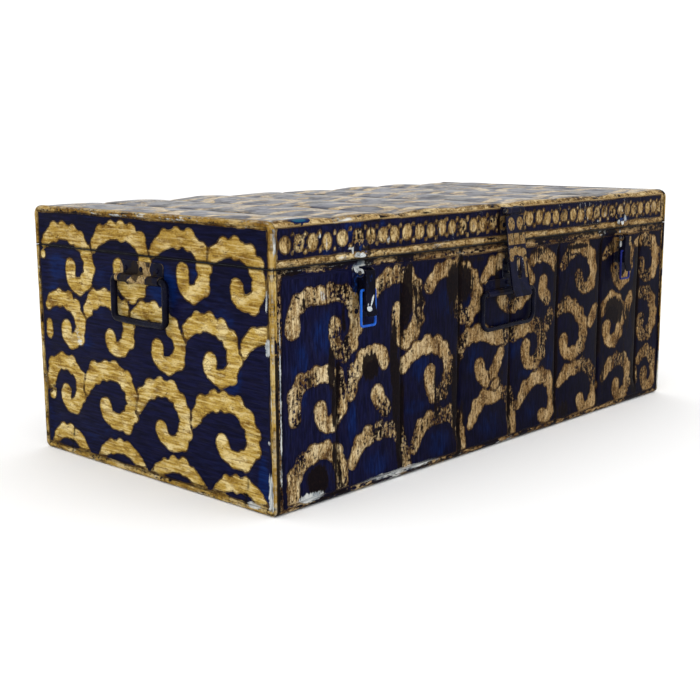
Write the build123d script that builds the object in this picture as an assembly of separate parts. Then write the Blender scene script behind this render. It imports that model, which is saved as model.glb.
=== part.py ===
"""Small tin trunk: a painted sheet-metal box with a hinged lid, a hasp and staple, two wire
draw latches on the front, a bail handle on the front and one on each end.

Frame: +Z up, +X along the length, front face towards -Y, origin at the centre of the bottom.
Millimetres.
"""
from build123d import *
import math
import os

os.makedirs("parts", exist_ok=True)

# ---------------------------------------------------------------- driving dimensions
LEN = 610.0          # over the folded rims of the ends
DEP = 325.0          # front face to back face
HGT = 233.0          # floor to lid top
SEAM = 197.0         # where lid and body part
T = 0.8              # tin sheet
RIM_W = 3.6          # folded rim round each end, width
RIM_H = 0.8          # and how far it stands out
LID_R = 8.0          # long top edges of the lid
PAN_R = 4.0          # lower edges of the bottom pan
PAN_H = 14.0         # flange of the bottom pan
WALL_Z0 = 4.0        # lower edge of the walls
GROOVES = [-231.5 + 80.5 * k for k in range(7)]   # swages across front, lid and back
SWAGE_R = 1.6        # pressed inwards: outer radius of the groove
UP_TOP = 205.0       # top of the inner rim that the lid fits over
UP_BOT = 188.0

YF = -DEP / 2        # front face
YB = DEP / 2
XE = LEN / 2 - RIM_H  # outer face of the end sheets
XI = XE - T           # inner face of the end sheets

# back hinges
HINGE_X = 190.0
HINGE_Y = YB + 4.2
HINGE_W = 44.0
# hasp
HASP_X = 2.0
HASP_D = 5.5
HASP_Z = 226.5
HASP_W = 28.0
HASP_TILT = 7.5       # how far it hangs off the vertical, on the staple's nose
STAPLE_Z = 172.0
STAPLE_NOSE = 11.5
# front handle
FB_Z = 150.0
FB_D = 3.2
FB_R = 2.3
FB_W = 82.0           # centre line
FB_H = 33.0
# end handles
EB_Z = 177.0
EB_D = 4.0
EB_R = 3.0
EB_W = 72.0
EB_H = 37.0
# draw latches
LATCH_X = 205.0
LV_D, LV_Z = 6.0, 187.0       # lever hinge
LP_D, LP_Z = 8.5, 173.0       # loop pivot
LP_LEN = 30.0
LP_R = 1.1
LP_U = 8.6                    # loop leg centre line from the latch's middle

RIV_R = 2.2                   # rivet head
RIV_H = 1.1
RIV_S = 1.4                   # rivet shank
HOLE = 1.45

made = {}


def box(x0, x1, y0, y1, z0, z1):
    """A block between two corners."""
    return Pos((x0 + x1) / 2, (y0 + y1) / 2, (z0 + z1) / 2) * Box(abs(x1 - x0), abs(y1 - y0), abs(z1 - z0))


def cyl(r, a, b):
    """A cylinder from point a to point b."""
    a, b = Vector(*a), Vector(*b)
    d = b - a
    return Plane(origin=a, z_dir=d) * Cylinder(r, d.length, align=(Align.CENTER, Align.CENTER, Align.MIN))


def tube(ro, ri, a, b):
    return cyl(ro, a, b) - cyl(ri, a, b)


def one(shape):
    """The single solid of a shape."""
    s = shape.solids()
    assert len(s) == 1, len(s)
    return s[0]


def save(name, *solids):
    shape = solids[0] if len(solids) == 1 else Compound(children=list(solids))
    made[name] = shape
    export_step(shape, f"parts/{name}.step")


def front(u, d, z, x0=0.0):
    """A point on the front: u along the face from x0, d out from it."""
    return (x0 + u, YF - d, z)


def rivet(p, out, grip):
    """A rivet with a low domed head at p, which lies on the outer sheet, and a flat tail inside.

    out is the unit direction that the head faces and grip the thickness under the head.
    """
    o = Vector(*out)
    p = Vector(*p)
    pl = Plane(origin=p, z_dir=o)
    head = Cylinder(RIV_R, RIV_H, align=(Align.CENTER, Align.CENTER, Align.MIN))
    head = fillet(head.edges().group_by(Axis.Z)[-1], RIV_H * 0.85)
    shank = Cylinder(RIV_S, grip + 0.8, align=(Align.CENTER, Align.CENTER, Align.MAX))
    tail = Pos(0, 0, -grip) * Cylinder(2.0, 0.8, align=(Align.CENTER, Align.CENTER, Align.MAX))
    return one(pl * (head + shank + tail))


def wire_loop(pts, radii, r, closed=True):
    """A round wire along straight runs and tangent arcs."""
    n = len(pts)
    P = [Vector(*p) for p in pts]
    edges = []
    ends = []
    for i in range(n):
        if not closed and i in (0, n - 1):
            ends.append((P[i], P[i], None))
            continue
        a = (P[i - 1] - P[i]).normalized()
        b = (P[(i + 1) % n] - P[i]).normalized()
        ang = math.radians(a.get_angle(b))
        t = radii[i] / math.tan(ang / 2)
        s, e = P[i] + a * t, P[i] + b * t
        bis = (a + b).normalized()
        c = P[i] + bis * (radii[i] / math.sin(ang / 2))
        m = c - bis * radii[i]
        ends.append((s, e, m))
    for i in range(n):
        s, e, m = ends[i]
        if m is not None:
            edges.append(ThreePointArc(s, m, e))
        if closed or i < n - 1:
            edges.append(Line(e, ends[(i + 1) % n][0]))
    path = Wire(edges)
    if closed:
        # the wire starts in the middle of a straight run, so that the section stands square to it
        e0 = ends[0][1]
        d = (ends[1][0] - e0).normalized()
        start = e0
        edges = edges[1:] + edges[:1]
        path = Wire(edges)
    else:
        start = P[0]
        d = (P[1] - P[0]).normalized()
    sec = Plane(origin=start, z_dir=d) * Circle(r)
    return sweep(sec, path=path)


# ---------------------------------------------------------------- body sheets
FRONT_HOLES = []      # rivet and staple holes in the front sheet: (x, z, r)
BACK_HOLES = []
LIDF_HOLES = []
LIDB_HOLES = []
END_HOLES = []        # (y, z, r), the same on both ends

# front handle clip rivets
FB_RIV = [(-26.0, 158.6), (0.0, 158.6), (26.0, 158.6)]
FRONT_HOLES += [(x, z, HOLE) for x, z in FB_RIV]
# staple legs
ST_HALF = 4.2
ST_R = 1.2
FRONT_HOLES += [(HASP_X, STAPLE_Z + s * ST_HALF, ST_R + 0.03) for s in (-1, 1)]
# latch base rivets
LB_RIV = [(-6.6, 155.0), (6.6, 155.0), (0.0, 176.0)]
for sx in (-1, 1):
    FRONT_HOLES += [(sx * LATCH_X + u, z, HOLE) for u, z in LB_RIV]
# latch catch rivets on the lid front
LC_RIV = [(-5.0, 209.5), (5.0, 209.5)]
for sx in (-1, 1):
    LIDF_HOLES += [(sx * LATCH_X + u, z, HOLE) for u, z in LC_RIV]
# hasp leaf rivets on the lid front
HL_RIV = [(-9.0, 213.0), (9.0, 213.0)]
LIDF_HOLES += [(HASP_X + u, z, HOLE) for u, z in HL_RIV]
# back hinge rivets
HB_RIV = [(-14.0, 182.5), (14.0, 182.5), (-14.0, 170.0), (14.0, 170.0)]
HLD_RIV = [(-14.0, 209.0), (14.0, 209.0), (-14.0, 220.0), (14.0, 220.0)]
for sx in (-1, 1):
    BACK_HOLES += [(sx * HINGE_X + u, z, HOLE) for u, z in HB_RIV]
    LIDB_HOLES += [(sx * HINGE_X + u, z, HOLE) for u, z in HLD_RIV]
# end handle rivets
EB_RIV = [(-22.0, 185.4), (0.0, 185.4), (22.0, 185.4)]
END_HOLES += [(y, z, HOLE) for y, z in EB_RIV]


def wall(y0, y1, outer, holes, z0, z1):
    """A front or back sheet with its swages."""
    w = box(-XI, XI, y0, y1, z0, z1)
    s = 1 if outer > 0 else -1
    a, b = PAN_H + 1.0, UP_BOT - 1.0      # the swages stop short of the pan's flange and the inner rim
    for g in GROOVES:
        bead = cyl(SWAGE_R + T, (g, outer, a), (g, outer, b))
        w += bead & box(g - 4, g + 4, outer, outer - s * 4, a, b)
    for g in GROOVES:
        w -= cyl(SWAGE_R, (g, outer, a + T), (g, outer, b - T))
    for x, z, r in holes:
        w -= cyl(r, (x, y0 - 5, z), (x, y1 + 5, z))
    return one(w)


save("body_front_sheet", wall(YF, YF + T, YF, FRONT_HOLES, WALL_Z0, SEAM))
save("body_back_sheet", wall(YB - T, YB, YB, BACK_HOLES, WALL_Z0, SEAM))

# bottom pan: a flat floor with a flange turned up inside the walls
pan = box(-XI, XI, YF + T, YB - T, 0, PAN_H)
pan = fillet(pan.faces().sort_by(Axis.Z)[0].edges(), PAN_R)
cav = box(-XI + T, XI - T, YF + 2 * T, YB - 2 * T, T, PAN_H + 5)
cav = fillet(cav.faces().sort_by(Axis.Z)[0].edges(), PAN_R - T)
save("body_bottom_pan", one(pan - cav))


def end_sheet(sx, z0, z1, top_r, holes):
    """An end sheet: flat, with a folded rim round its outline that covers the edges of its neighbours."""
    def prof(inset, x0, x1):
        b = box(min(x0, x1), max(x0, x1), YF + inset, YB - inset, z0 + inset, z1 - inset)
        r = top_r - inset
        if r > 0.4:
            b = fillet([e for e in b.edges().filter_by(Axis.X) if e.center().Z > (z0 + z1) / 2], r)
        return b
    plate = prof(0, sx * XI, sx * XE)
    rim = prof(0, sx * XE, sx * (XE + RIM_H)) - prof(RIM_W, sx * XE - sx * 1, sx * (XE + RIM_H + 1))
    out = plate + rim
    for y, z, r in holes:
        out -= cyl(r, (sx * (XI - 5), y, z), (sx * (XE + 5), y, z))
    return one(out)


for sx, side in ((-1, "left"), (1, "right")):
    save(f"body_end_{side}", end_sheet(sx, WALL_Z0, SEAM, 0, END_HOLES))
    save(f"lid_end_{side}", end_sheet(sx, SEAM, HGT, LID_R, []))

# inner rim: a band inside the mouth, set in by one sheet above the seam so the lid drops over it


def ring(off_out, off_in, z0, z1):
    a = box(-XI + off_out, XI - off_out, YF + T + off_out, YB - T - off_out, z0, z1)
    b = box(-XI + off_in, XI - off_in, YF + T + off_in, YB - T - off_in, z0 - 1, z1 + 1)
    return a - b


rim = ring(0, T, UP_BOT, 193.0) + ring(0, 2 * T, 193.0, 195.5) + ring(T, 2 * T, 195.5, UP_TOP)
save("body_inner_rim", one(rim))

# ---------------------------------------------------------------- lid sheet


def lid_profile(off):
    """Cross-section of the lid wrapper, inset by off, as a solid block along X."""
    b = box(-XI, XI, YF + off, YB - off, SEAM - (20 if off else 0), HGT - off)
    return fillet([e for e in b.edges().filter_by(Axis.X) if e.center().Z > HGT - 10], LID_R - off)


lid = lid_profile(0) - lid_profile(T)
ye = YB - LID_R - 2
for g in GROOVES:
    lid += cyl(SWAGE_R + T, (g, -ye, HGT), (g, ye, HGT)) & box(g - 4, g + 4, -ye, ye, HGT - 4, HGT)
for g in GROOVES:
    lid -= cyl(SWAGE_R, (g, -ye + T, HGT), (g, ye - T, HGT))
for x, z, r in LIDF_HOLES:
    lid -= cyl(r, (x, YF - 5, z), (x, YF + 5, z))
for x, z, r in LIDB_HOLES:
    lid -= cyl(r, (x, YB - 5, z), (x, YB + 5, z))
save("lid_sheet", one(lid))

# ---------------------------------------------------------------- back hinges
KN_R = 3.2
PIN_R = 1.5
for sx, side in ((-1, "left"), (1, "right")):
    hx = sx * HINGE_X
    w = HINGE_W / 2
    mid = 7.6
    # body leaf with two outer knuckles
    leaf = box(hx - w, hx + w, YB, YB + 1.2, 162, SEAM)
    leaf = fillet([e for e in leaf.edges().filter_by(Axis.Y) if e.center().Z < 165], 4)
    leaf -= box(hx - mid - 0.5, hx + mid + 0.5, YB - 1, YB + 3, SEAM - 4.2, SEAM + 1)
    for a, b in ((-w, -mid - 0.3), (mid + 0.3, w)):
        leaf += cyl(KN_R, (hx + a, HINGE_Y, SEAM), (hx + b, HINGE_Y, SEAM))
        leaf += box(hx + a, hx + b, YB, HINGE_Y, SEAM - KN_R, SEAM - KN_R + 1.2)
    leaf -= box(hx - w - 1, hx + w + 1, YB - 1, YB + 0.9, SEAM + 0.0, SEAM + 5)
    leaf -= cyl(PIN_R + 0.03, (hx - w - 1, HINGE_Y, SEAM), (hx + w + 1, HINGE_Y, SEAM))
    for u, z in HB_RIV:
        leaf -= cyl(HOLE, (hx + u, YB - 1, z), (hx + u, YB + 3, z))
    save(f"hinge_{side}_body_leaf", one(leaf))
    # lid leaf with the middle knuckle
    lf = box(hx - w, hx + w, YB, YB + 1.2, SEAM + 4.2, 227)
    lf = fillet([e for e in lf.edges().filter_by(Axis.Y) if e.center().Z > 220], 4)
    lf += box(hx - mid, hx + mid, YB, YB + 1.2, SEAM + 0.5, SEAM + 4.3)
    lf += cyl(KN_R, (hx - mid, HINGE_Y, SEAM), (hx + mid, HINGE_Y, SEAM))
    lf += box(hx - mid, hx + mid, YB, HINGE_Y, SEAM + KN_R - 1.2, SEAM + KN_R)
    lf -= cyl(PIN_R + 0.05, (hx - mid - 1, HINGE_Y, SEAM), (hx + mid + 1, HINGE_Y, SEAM))
    for u, z in HLD_RIV:
        lf -= cyl(HOLE, (hx + u, YB - 1, z), (hx + u, YB + 3, z))
    save(f"hinge_{side}_lid_leaf", one(lf))
    pin = cyl(PIN_R, (hx - w - 0.6, HINGE_Y, SEAM), (hx + w + 0.6, HINGE_Y, SEAM))
    for s in (-1, 1):
        pin += cyl(2.2, (hx + s * (w + 0.1), HINGE_Y, SEAM), (hx + s * (w + 1.1), HINGE_Y, SEAM))
    save(f"hinge_{side}_pin", one(pin))

save("hinge_body_rivets", *[rivet((sx * HINGE_X + u, YB + 1.2, z), (0, 1, 0), 1.2 + T)
                            for sx in (-1, 1) for u, z in HB_RIV])
save("hinge_lid_rivets", *[rivet((sx * HINGE_X + u, YB + 1.2, z), (0, 1, 0), 1.2 + T)
                           for sx in (-1, 1) for u, z in HLD_RIV])

# ---------------------------------------------------------------- hasp, staple
HK_R = 3.3
AX = (HASP_D, HASP_Z)
hw = 13.5
leaf = box(HASP_X - hw, HASP_X + hw, YF - 1.0, YF, 204.5, 230.0)
leaf = fillet([e for e in leaf.edges().filter_by(Axis.Y) if e.center().Z < 210], 3)
leaf -= box(HASP_X - 7.2, HASP_X + 7.2, YF - 2, YF - 0.4 + 1, HASP_Z - 4.5, 231)
for a, b in ((-hw, -6.9), (6.9, hw)):
    leaf += cyl(HK_R, front(a, *AX, HASP_X), front(b, *AX, HASP_X))
    leaf += box(HASP_X + a, HASP_X + b, YF - HASP_D, YF, HASP_Z + HK_R - 1.0, HASP_Z + HK_R)
leaf -= cyl(PIN_R + 0.03, front(-hw - 1, *AX, HASP_X), front(hw + 1, *AX, HASP_X))
for u, z in HL_RIV:
    leaf -= cyl(HOLE, (HASP_X + u, YF + 1, z), (HASP_X + u, YF - 3, z))
save("hasp_leaf", one(leaf))
save("hasp_pin", one(cyl(PIN_R, front(-hw - 0.5, *AX, HASP_X), front(hw + 0.5, *AX, HASP_X))
                     + cyl(2.1, front(-hw - 1.1, *AX, HASP_X), front(-hw - 0.1, *AX, HASP_X))
                     + cyl(2.1, front(hw + 0.1, *AX, HASP_X), front(hw + 1.1, *AX, HASP_X))))
save("hasp_rivets", *[rivet((HASP_X + u, YF - 1.0, z), (0, -1, 0), 1.0 + T) for u, z in HL_RIV])

ST = 1.2
sw = HASP_W / 2
LIP_Z = 155.5
yc = YF - HASP_D
strap = box(HASP_X - sw, HASP_X + sw, yc - ST / 2, yc + ST / 2, LIP_Z, HASP_Z - 4.8)
lip = box(HASP_X - sw, HASP_X + sw, yc - ST / 2, yc + ST / 2, LIP_Z - 10.4, LIP_Z + 0.05)
lip = fillet([e for e in lip.edges().filter_by(Axis.Y) if e.center().Z < LIP_Z - 5], 3.5)
lip = lip.rotate(Axis((0, yc - ST / 2, LIP_Z), (-1, 0, 0)), 20)
strap += lip
strap += box(HASP_X - 6.6, HASP_X + 6.6, yc - ST / 2, yc + ST / 2, HASP_Z - 5, HASP_Z)
strap += cyl(HK_R, front(-6.6, *AX, HASP_X), front(6.6, *AX, HASP_X))
strap -= cyl(PIN_R + 0.05, front(-8, *AX, HASP_X), front(8, *AX, HASP_X))
slot = box(HASP_X - 3.25, HASP_X + 3.25, yc - 5, yc + 5, STAPLE_Z - 10, STAPLE_Z + 10)
slot = fillet(slot.edges().filter_by(Axis.Y), 3.0)
strap -= slot
# the strap rests 7.5 degrees out from the wall
strap = strap.rotate(Axis((0, YF - HASP_D, HASP_Z), (-1, 0, 0)), HASP_TILT)
save("hasp_strap", one(strap))

sp = box(HASP_X - 9, HASP_X + 9, YF - 0.8, YF, STAPLE_Z - 9.4, STAPLE_Z + 9.4)
sp = fillet(sp.edges().filter_by(Axis.Y), 2.5)
for s in (-1, 1):
    sp -= cyl(ST_R + 0.03, front(HASP_X, 2, STAPLE_Z + s * ST_HALF), front(HASP_X, -2, STAPLE_Z + s * ST_HALF))
save("staple_plate", one(sp))
nose = STAPLE_NOSE - ST_R
st = wire_loop([front(HASP_X, -2.4, STAPLE_Z - ST_HALF), front(HASP_X, nose, STAPLE_Z - ST_HALF),
                front(HASP_X, nose, STAPLE_Z + ST_HALF), front(HASP_X, -2.4, STAPLE_Z + ST_HALF)],
               [0, 3.4, 3.4, 0], ST_R, closed=False)
for s in (-1, 1):   # legs peened over inside
    st += cyl(2.0, front(HASP_X, -T, STAPLE_Z + s * ST_HALF), front(HASP_X, -T - 1.4, STAPLE_Z + s * ST_HALF))
save("staple", one(st))

# ---------------------------------------------------------------- front handle


def clip_front():
    z_top = 162.4
    c = box(-34, 34, YF - 0.9, YF, FB_Z, z_top)
    c = fillet([e for e in c.edges().filter_by(Axis.Y) if e.center().Z > 160], 3)
    c += cyl(FB_R + 0.7, front(-34, FB_D, FB_Z), front(34, FB_D, FB_Z))
    c += box(-34, 34, YF - FB_D, YF, FB_Z + FB_R - 0.2, FB_Z + FB_R + 0.68)
    c -= cyl(FB_R + 0.06, front(-35, FB_D, FB_Z), front(35, FB_D, FB_Z))
    c -= box(-40, 40, YF, YF + 5, FB_Z - 10, FB_Z + 20)
    for x, z in FB_RIV:
        c -= cyl(HOLE, (x, YF + 1, z), (x, YF - 3, z))
    return one(c)


save("front_handle_clip", clip_front())
hwid = FB_W / 2
save("front_handle_bail", one(wire_loop(
    [front(-hwid, FB_D, FB_Z), front(hwid, FB_D, FB_Z), front(hwid, FB_D, FB_Z - FB_H), front(-hwid, FB_D, FB_Z - FB_H)],
    [4.5, 4.5, 9.5, 9.5], FB_R)))
save("front_handle_rivets", *[rivet((x, YF - 0.9, z), (0, -1, 0), 0.9 + T) for x, z in FB_RIV])

# ---------------------------------------------------------------- end handles
for sx, side in ((-1, "left"), (1, "right")):
    def E(y, d, z):
        return (sx * (XE + d), y, z)
    x_lo, x_hi = sorted((sx * XE, sx * (XE + 0.9)))
    c = box(x_lo, x_hi, -30, 30, EB_Z, 192.0)
    c = fillet([e for e in c.edges().filter_by(Axis.X) if e.center().Z > 190], 3)
    c += cyl(EB_R + 0.8, E(-30, EB_D, EB_Z), E(30, EB_D, EB_Z))
    a, b = sorted((sx * XE, sx * (XE + EB_D)))
    c += box(a, b, -30, 30, EB_Z + EB_R - 0.2, EB_Z + EB_R + 0.78)
    c -= cyl(EB_R + 0.06, E(-31, EB_D, EB_Z), E(31, EB_D, EB_Z))
    for y, z in EB_RIV:
        c -= cyl(HOLE, E(y, -3, z), E(y, 3, z))
    save(f"end_handle_{side}_clip", one(c))
    h = EB_W / 2
    save(f"end_handle_{side}_bail", one(wire_loop(
        [E(-h, EB_D, EB_Z), E(h, EB_D, EB_Z), E(h, EB_D, EB_Z - EB_H), E(-h, EB_D, EB_Z - EB_H)],
        [4.5, 4.5, 5.5, 5.5], EB_R)))
    save(f"end_handle_{side}_rivets", *[rivet(E(y, 0.9, z), (sx, 0, 0), 0.9 + T) for y, z in EB_RIV])

# ---------------------------------------------------------------- draw latches
base_rivets, catch_rivets = [], []
for sx, side in ((-1, "left"), (1, "right")):
    cx = sx * LATCH_X
    F = lambda u, d, z: front(u, d, z, cx)
    # base: a plate with two ears that carry the lever's pin
    b = box(cx - 10, cx + 10, YF - 1.0, YF, 149.5, 191.5)
    b = fillet(b.edges().filter_by(Axis.Y), 3)
    for s in (-1, 1):
        u0, u1 = sorted((s * 5.9, s * 6.8))
        ear = box(cx + u0, cx + u1, YF - LV_D, YF, LV_Z - 3.6, LV_Z + 3.6)
        ear += cyl(3.6, F(u0, LV_D, LV_Z), F(u1, LV_D, LV_Z))
        b += ear
    b -= cyl(1.2 + 0.03, F(-8, LV_D, LV_Z), F(8, LV_D, LV_Z))
    for u, z in LB_RIV:
        b -= cyl(HOLE, F(u, -1, z), F(u, 3, z))
    save(f"latch_{side}_base", one(b))
    # lever: a channel that hangs from the pin, with a finger tab turned out at its foot
    lv = box(cx - 5.6, cx + 5.6, YF - 11.6, YF - 3.4, 160.5, LV_Z)
    lv += cyl(2.6, F(-5.6, LV_D, LV_Z), F(5.6, LV_D, LV_Z))
    top = box(cx - 5.6, cx + 5.6, YF - 11.6, YF - LV_D, LV_Z - 0.01, LV_Z + 2.6)
    top = fillet([e for e in top.edges().filter_by(Axis.X) if e.center().Z > LV_Z + 1 and e.center().Y < YF - 9], 2.4)
    lv += top
    lv -= box(cx - 4.7, cx + 4.7, YF - 10.7, YF, 150, LV_Z + 10)
    tab = box(cx - 5.6, cx + 5.6, YF - 11.6, YF - 10.7, 151.0, 160.6)
    tab = fillet([e for e in tab.edges().filter_by(Axis.Y) if e.center().Z < 152], 2.5)
    tab = tab.rotate(Axis((0, YF - 11.6, 160.6), (-1, 0, 0)), 14)
    lv += tab
    lv -= cyl(1.2 + 0.05, F(-8, LV_D, LV_Z), F(8, LV_D, LV_Z))
    lv -= cyl(LP_R + 0.06, F(-8, LP_D, LP_Z), F(8, LP_D, LP_Z))
    save(f"latch_{side}_lever", one(lv))
    pin = cyl(1.2, F(-7.2, LV_D, LV_Z), F(7.2, LV_D, LV_Z))
    for s in (-1, 1):
        pin += cyl(1.8, F(s * 6.85, LV_D, LV_Z), F(s * 7.35, LV_D, LV_Z))
    save(f"latch_{side}_lever_pin", one(pin))
    # loop: its ends are turned in through the sides of the lever
    lp = wire_loop([F(-4.9, LP_D, LP_Z), F(-LP_U, LP_D, LP_Z), F(-LP_U, LP_D, LP_Z - LP_LEN),
                    F(LP_U, LP_D, LP_Z - LP_LEN), F(LP_U, LP_D, LP_Z), F(4.9, LP_D, LP_Z)],
                   [0, 1.6, 2.2, 2.2, 1.6, 0], LP_R, closed=False)
    save(f"latch_{side}_loop", one(lp))
    # catch on the lid: a plate with an upturned hook
    c = box(cx - 8, cx + 8, YF - 1.0, YF, 199.4, 213.5)
    c = fillet([e for e in c.edges().filter_by(Axis.Y) if e.center().Z > 210], 3)
    c += box(cx - 6, cx + 6, YF - 5.6, YF, 199.4, 200.4)
    c += box(cx - 6, cx + 6, YF - 5.6, YF - 4.7, 199.4, 204.4)
    for u, z in LC_RIV:
        c -= cyl(HOLE, F(u, -1, z), F(u, 3, z))
    save(f"latch_{side}_catch", one(c))
    base_rivets += [rivet(F(u, 1.0, z), (0, -1, 0), 1.0 + T) for u, z in LB_RIV]
    catch_rivets += [rivet(F(u, 1.0, z), (0, -1, 0), 1.0 + T) for u, z in LC_RIV]
save("latch_base_rivets", *base_rivets)
save("latch_catch_rivets", *catch_rivets)

print(len(made), "nodes")
tot = 0
for k, v in made.items():
    vol = v.volume if len(v.solids()) == 1 else sum(s.volume for s in v.solids())
    tot += vol
print("mass about", round(tot * 7.85e-6, 2), "kg")
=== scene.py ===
"""Small painted tin trunk: looks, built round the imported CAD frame.

Sheets are rebuilt as finely gridded tin with rolled rims, swages and soft dents. The painted
ornament is laid out as plain curves (rows of scalloped crooks, ovals, dots and borders), turned
into distances on each mesh, and broken up into brush strokes, chips and smears by node materials.
Lengths below are millimetres unless they go to Blender, which takes metres.
"""

import bmesh
import bpy
import math

import numpy as np
from mathutils import Matrix, Vector
from mathutils.kdtree import KDTree


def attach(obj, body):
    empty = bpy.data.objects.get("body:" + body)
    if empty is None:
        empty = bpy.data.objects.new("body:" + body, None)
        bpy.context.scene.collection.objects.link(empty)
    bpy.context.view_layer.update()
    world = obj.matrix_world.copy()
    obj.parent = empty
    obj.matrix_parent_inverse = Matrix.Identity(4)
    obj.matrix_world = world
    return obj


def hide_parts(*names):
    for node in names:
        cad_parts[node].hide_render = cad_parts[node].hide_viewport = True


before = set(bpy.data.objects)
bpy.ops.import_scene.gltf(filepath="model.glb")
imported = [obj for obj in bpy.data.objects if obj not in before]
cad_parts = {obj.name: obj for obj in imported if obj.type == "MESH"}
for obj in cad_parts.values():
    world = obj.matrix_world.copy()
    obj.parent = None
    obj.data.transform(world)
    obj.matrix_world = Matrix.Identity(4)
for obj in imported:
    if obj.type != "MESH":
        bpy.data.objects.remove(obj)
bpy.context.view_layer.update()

# ------------------------------------------------------------------ sizes shared with the CAD
YF, YB = -162.5, 162.5
XE, XI = 304.2, 303.4
SEAM, HGT = 197.0, 233.0
T = 0.8
GROOVES = np.array([-231.5 + 80.5 * k for k in range(7)])
HASP_X = 2.0
LATCH_X = 205.0
CHANNELS = ("gold", "smear", "wear", "pale", "cobalt", "crease", "edge", "gloss", "grime")


# ------------------------------------------------------------------ camera
def make_camera():
    cam = bpy.data.objects.new("camera", bpy.data.cameras.new("camera"))
    bpy.context.scene.collection.objects.link(cam)
    cam.data.lens = 60.0
    cam.data.sensor_width = 36.0
    cam.data.clip_start, cam.data.clip_end = 0.05, 200.0
    az, el, roll = math.radians(46.855), math.radians(10.709), math.radians(-0.304)
    fw = Vector((math.sin(az) * math.cos(el), math.cos(az) * math.cos(el), -math.sin(el)))
    right = fw.cross(Vector((0, 0, 1))).normalized()
    up = right.cross(fw)
    r2 = right * math.cos(roll) + up * math.sin(roll)
    u2 = up * math.cos(roll) - right * math.sin(roll)
    m = Matrix.Identity(4)
    for k in range(3):
        m[k][0], m[k][1], m[k][2] = r2[k], u2[k], -fw[k]
    m.translation = Vector((-0.9071, -0.8083, 0.3019))
    cam.matrix_world = m
    bpy.context.scene.camera = cam


make_camera()


# ------------------------------------------------------------------ small numeric helpers
def vnoise(x, y, scale, seed):
    """Smooth value noise, 0 to 1."""
    x = np.asarray(x, float) / scale
    y = np.asarray(y, float) / scale
    xi, yi = np.floor(x).astype(np.int64), np.floor(y).astype(np.int64)
    fx, fy = x - xi, y - yi
    fx, fy = fx * fx * (3 - 2 * fx), fy * fy * (3 - 2 * fy)

    def h(a, b):
        v = np.sin(a * 127.1 + b * 311.7 + seed * 74.7) * 43758.5453
        return v - np.floor(v)

    return (h(xi, yi) * (1 - fx) * (1 - fy) + h(xi + 1, yi) * fx * (1 - fy)
            + h(xi, yi + 1) * (1 - fx) * fy + h(xi + 1, yi + 1) * fx * fy)


def smooth(a, b, x):
    t = np.clip((np.asarray(x, float) - a) / (b - a), 0, 1)
    return t * t * (3 - 2 * t)


def spline(pts, step=1.6):
    """A smooth line through the points, sampled about every step."""
    p = np.array(pts, float)
    p = np.vstack([2 * p[0] - p[1], p, 2 * p[-1] - p[-2]])
    out = []
    for i in range(1, len(p) - 2):
        a, b, c, d = p[i - 1], p[i], p[i + 1], p[i + 2]
        n = max(2, int(np.linalg.norm(c - b) / step))
        t = np.linspace(0, 1, n, endpoint=False)[:, None]
        out.append(0.5 * (2 * b + (c - a) * t + (2 * a - 5 * b + 4 * c - d) * t ** 2
                          + (3 * b - a - 3 * c + d) * t ** 3))
    out.append(p[-2][None])
    return np.vstack(out)


def chain_distance(P, Q, R):
    """Distance from points P to a line of round strokes through Q with radii R."""
    best = np.full(len(P), 1e3)
    for k in range(len(Q) - 1):
        a, b = Q[k], Q[k + 1]
        ab = b - a
        t = np.clip(((P - a) @ ab) / max(ab @ ab, 1e-9), 0, 1)
        d = np.linalg.norm(P - a - t[:, None] * ab, axis=1) - (R[k] + t * (R[k + 1] - R[k]))
        np.minimum(best, d, out=best)
    return best


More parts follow.
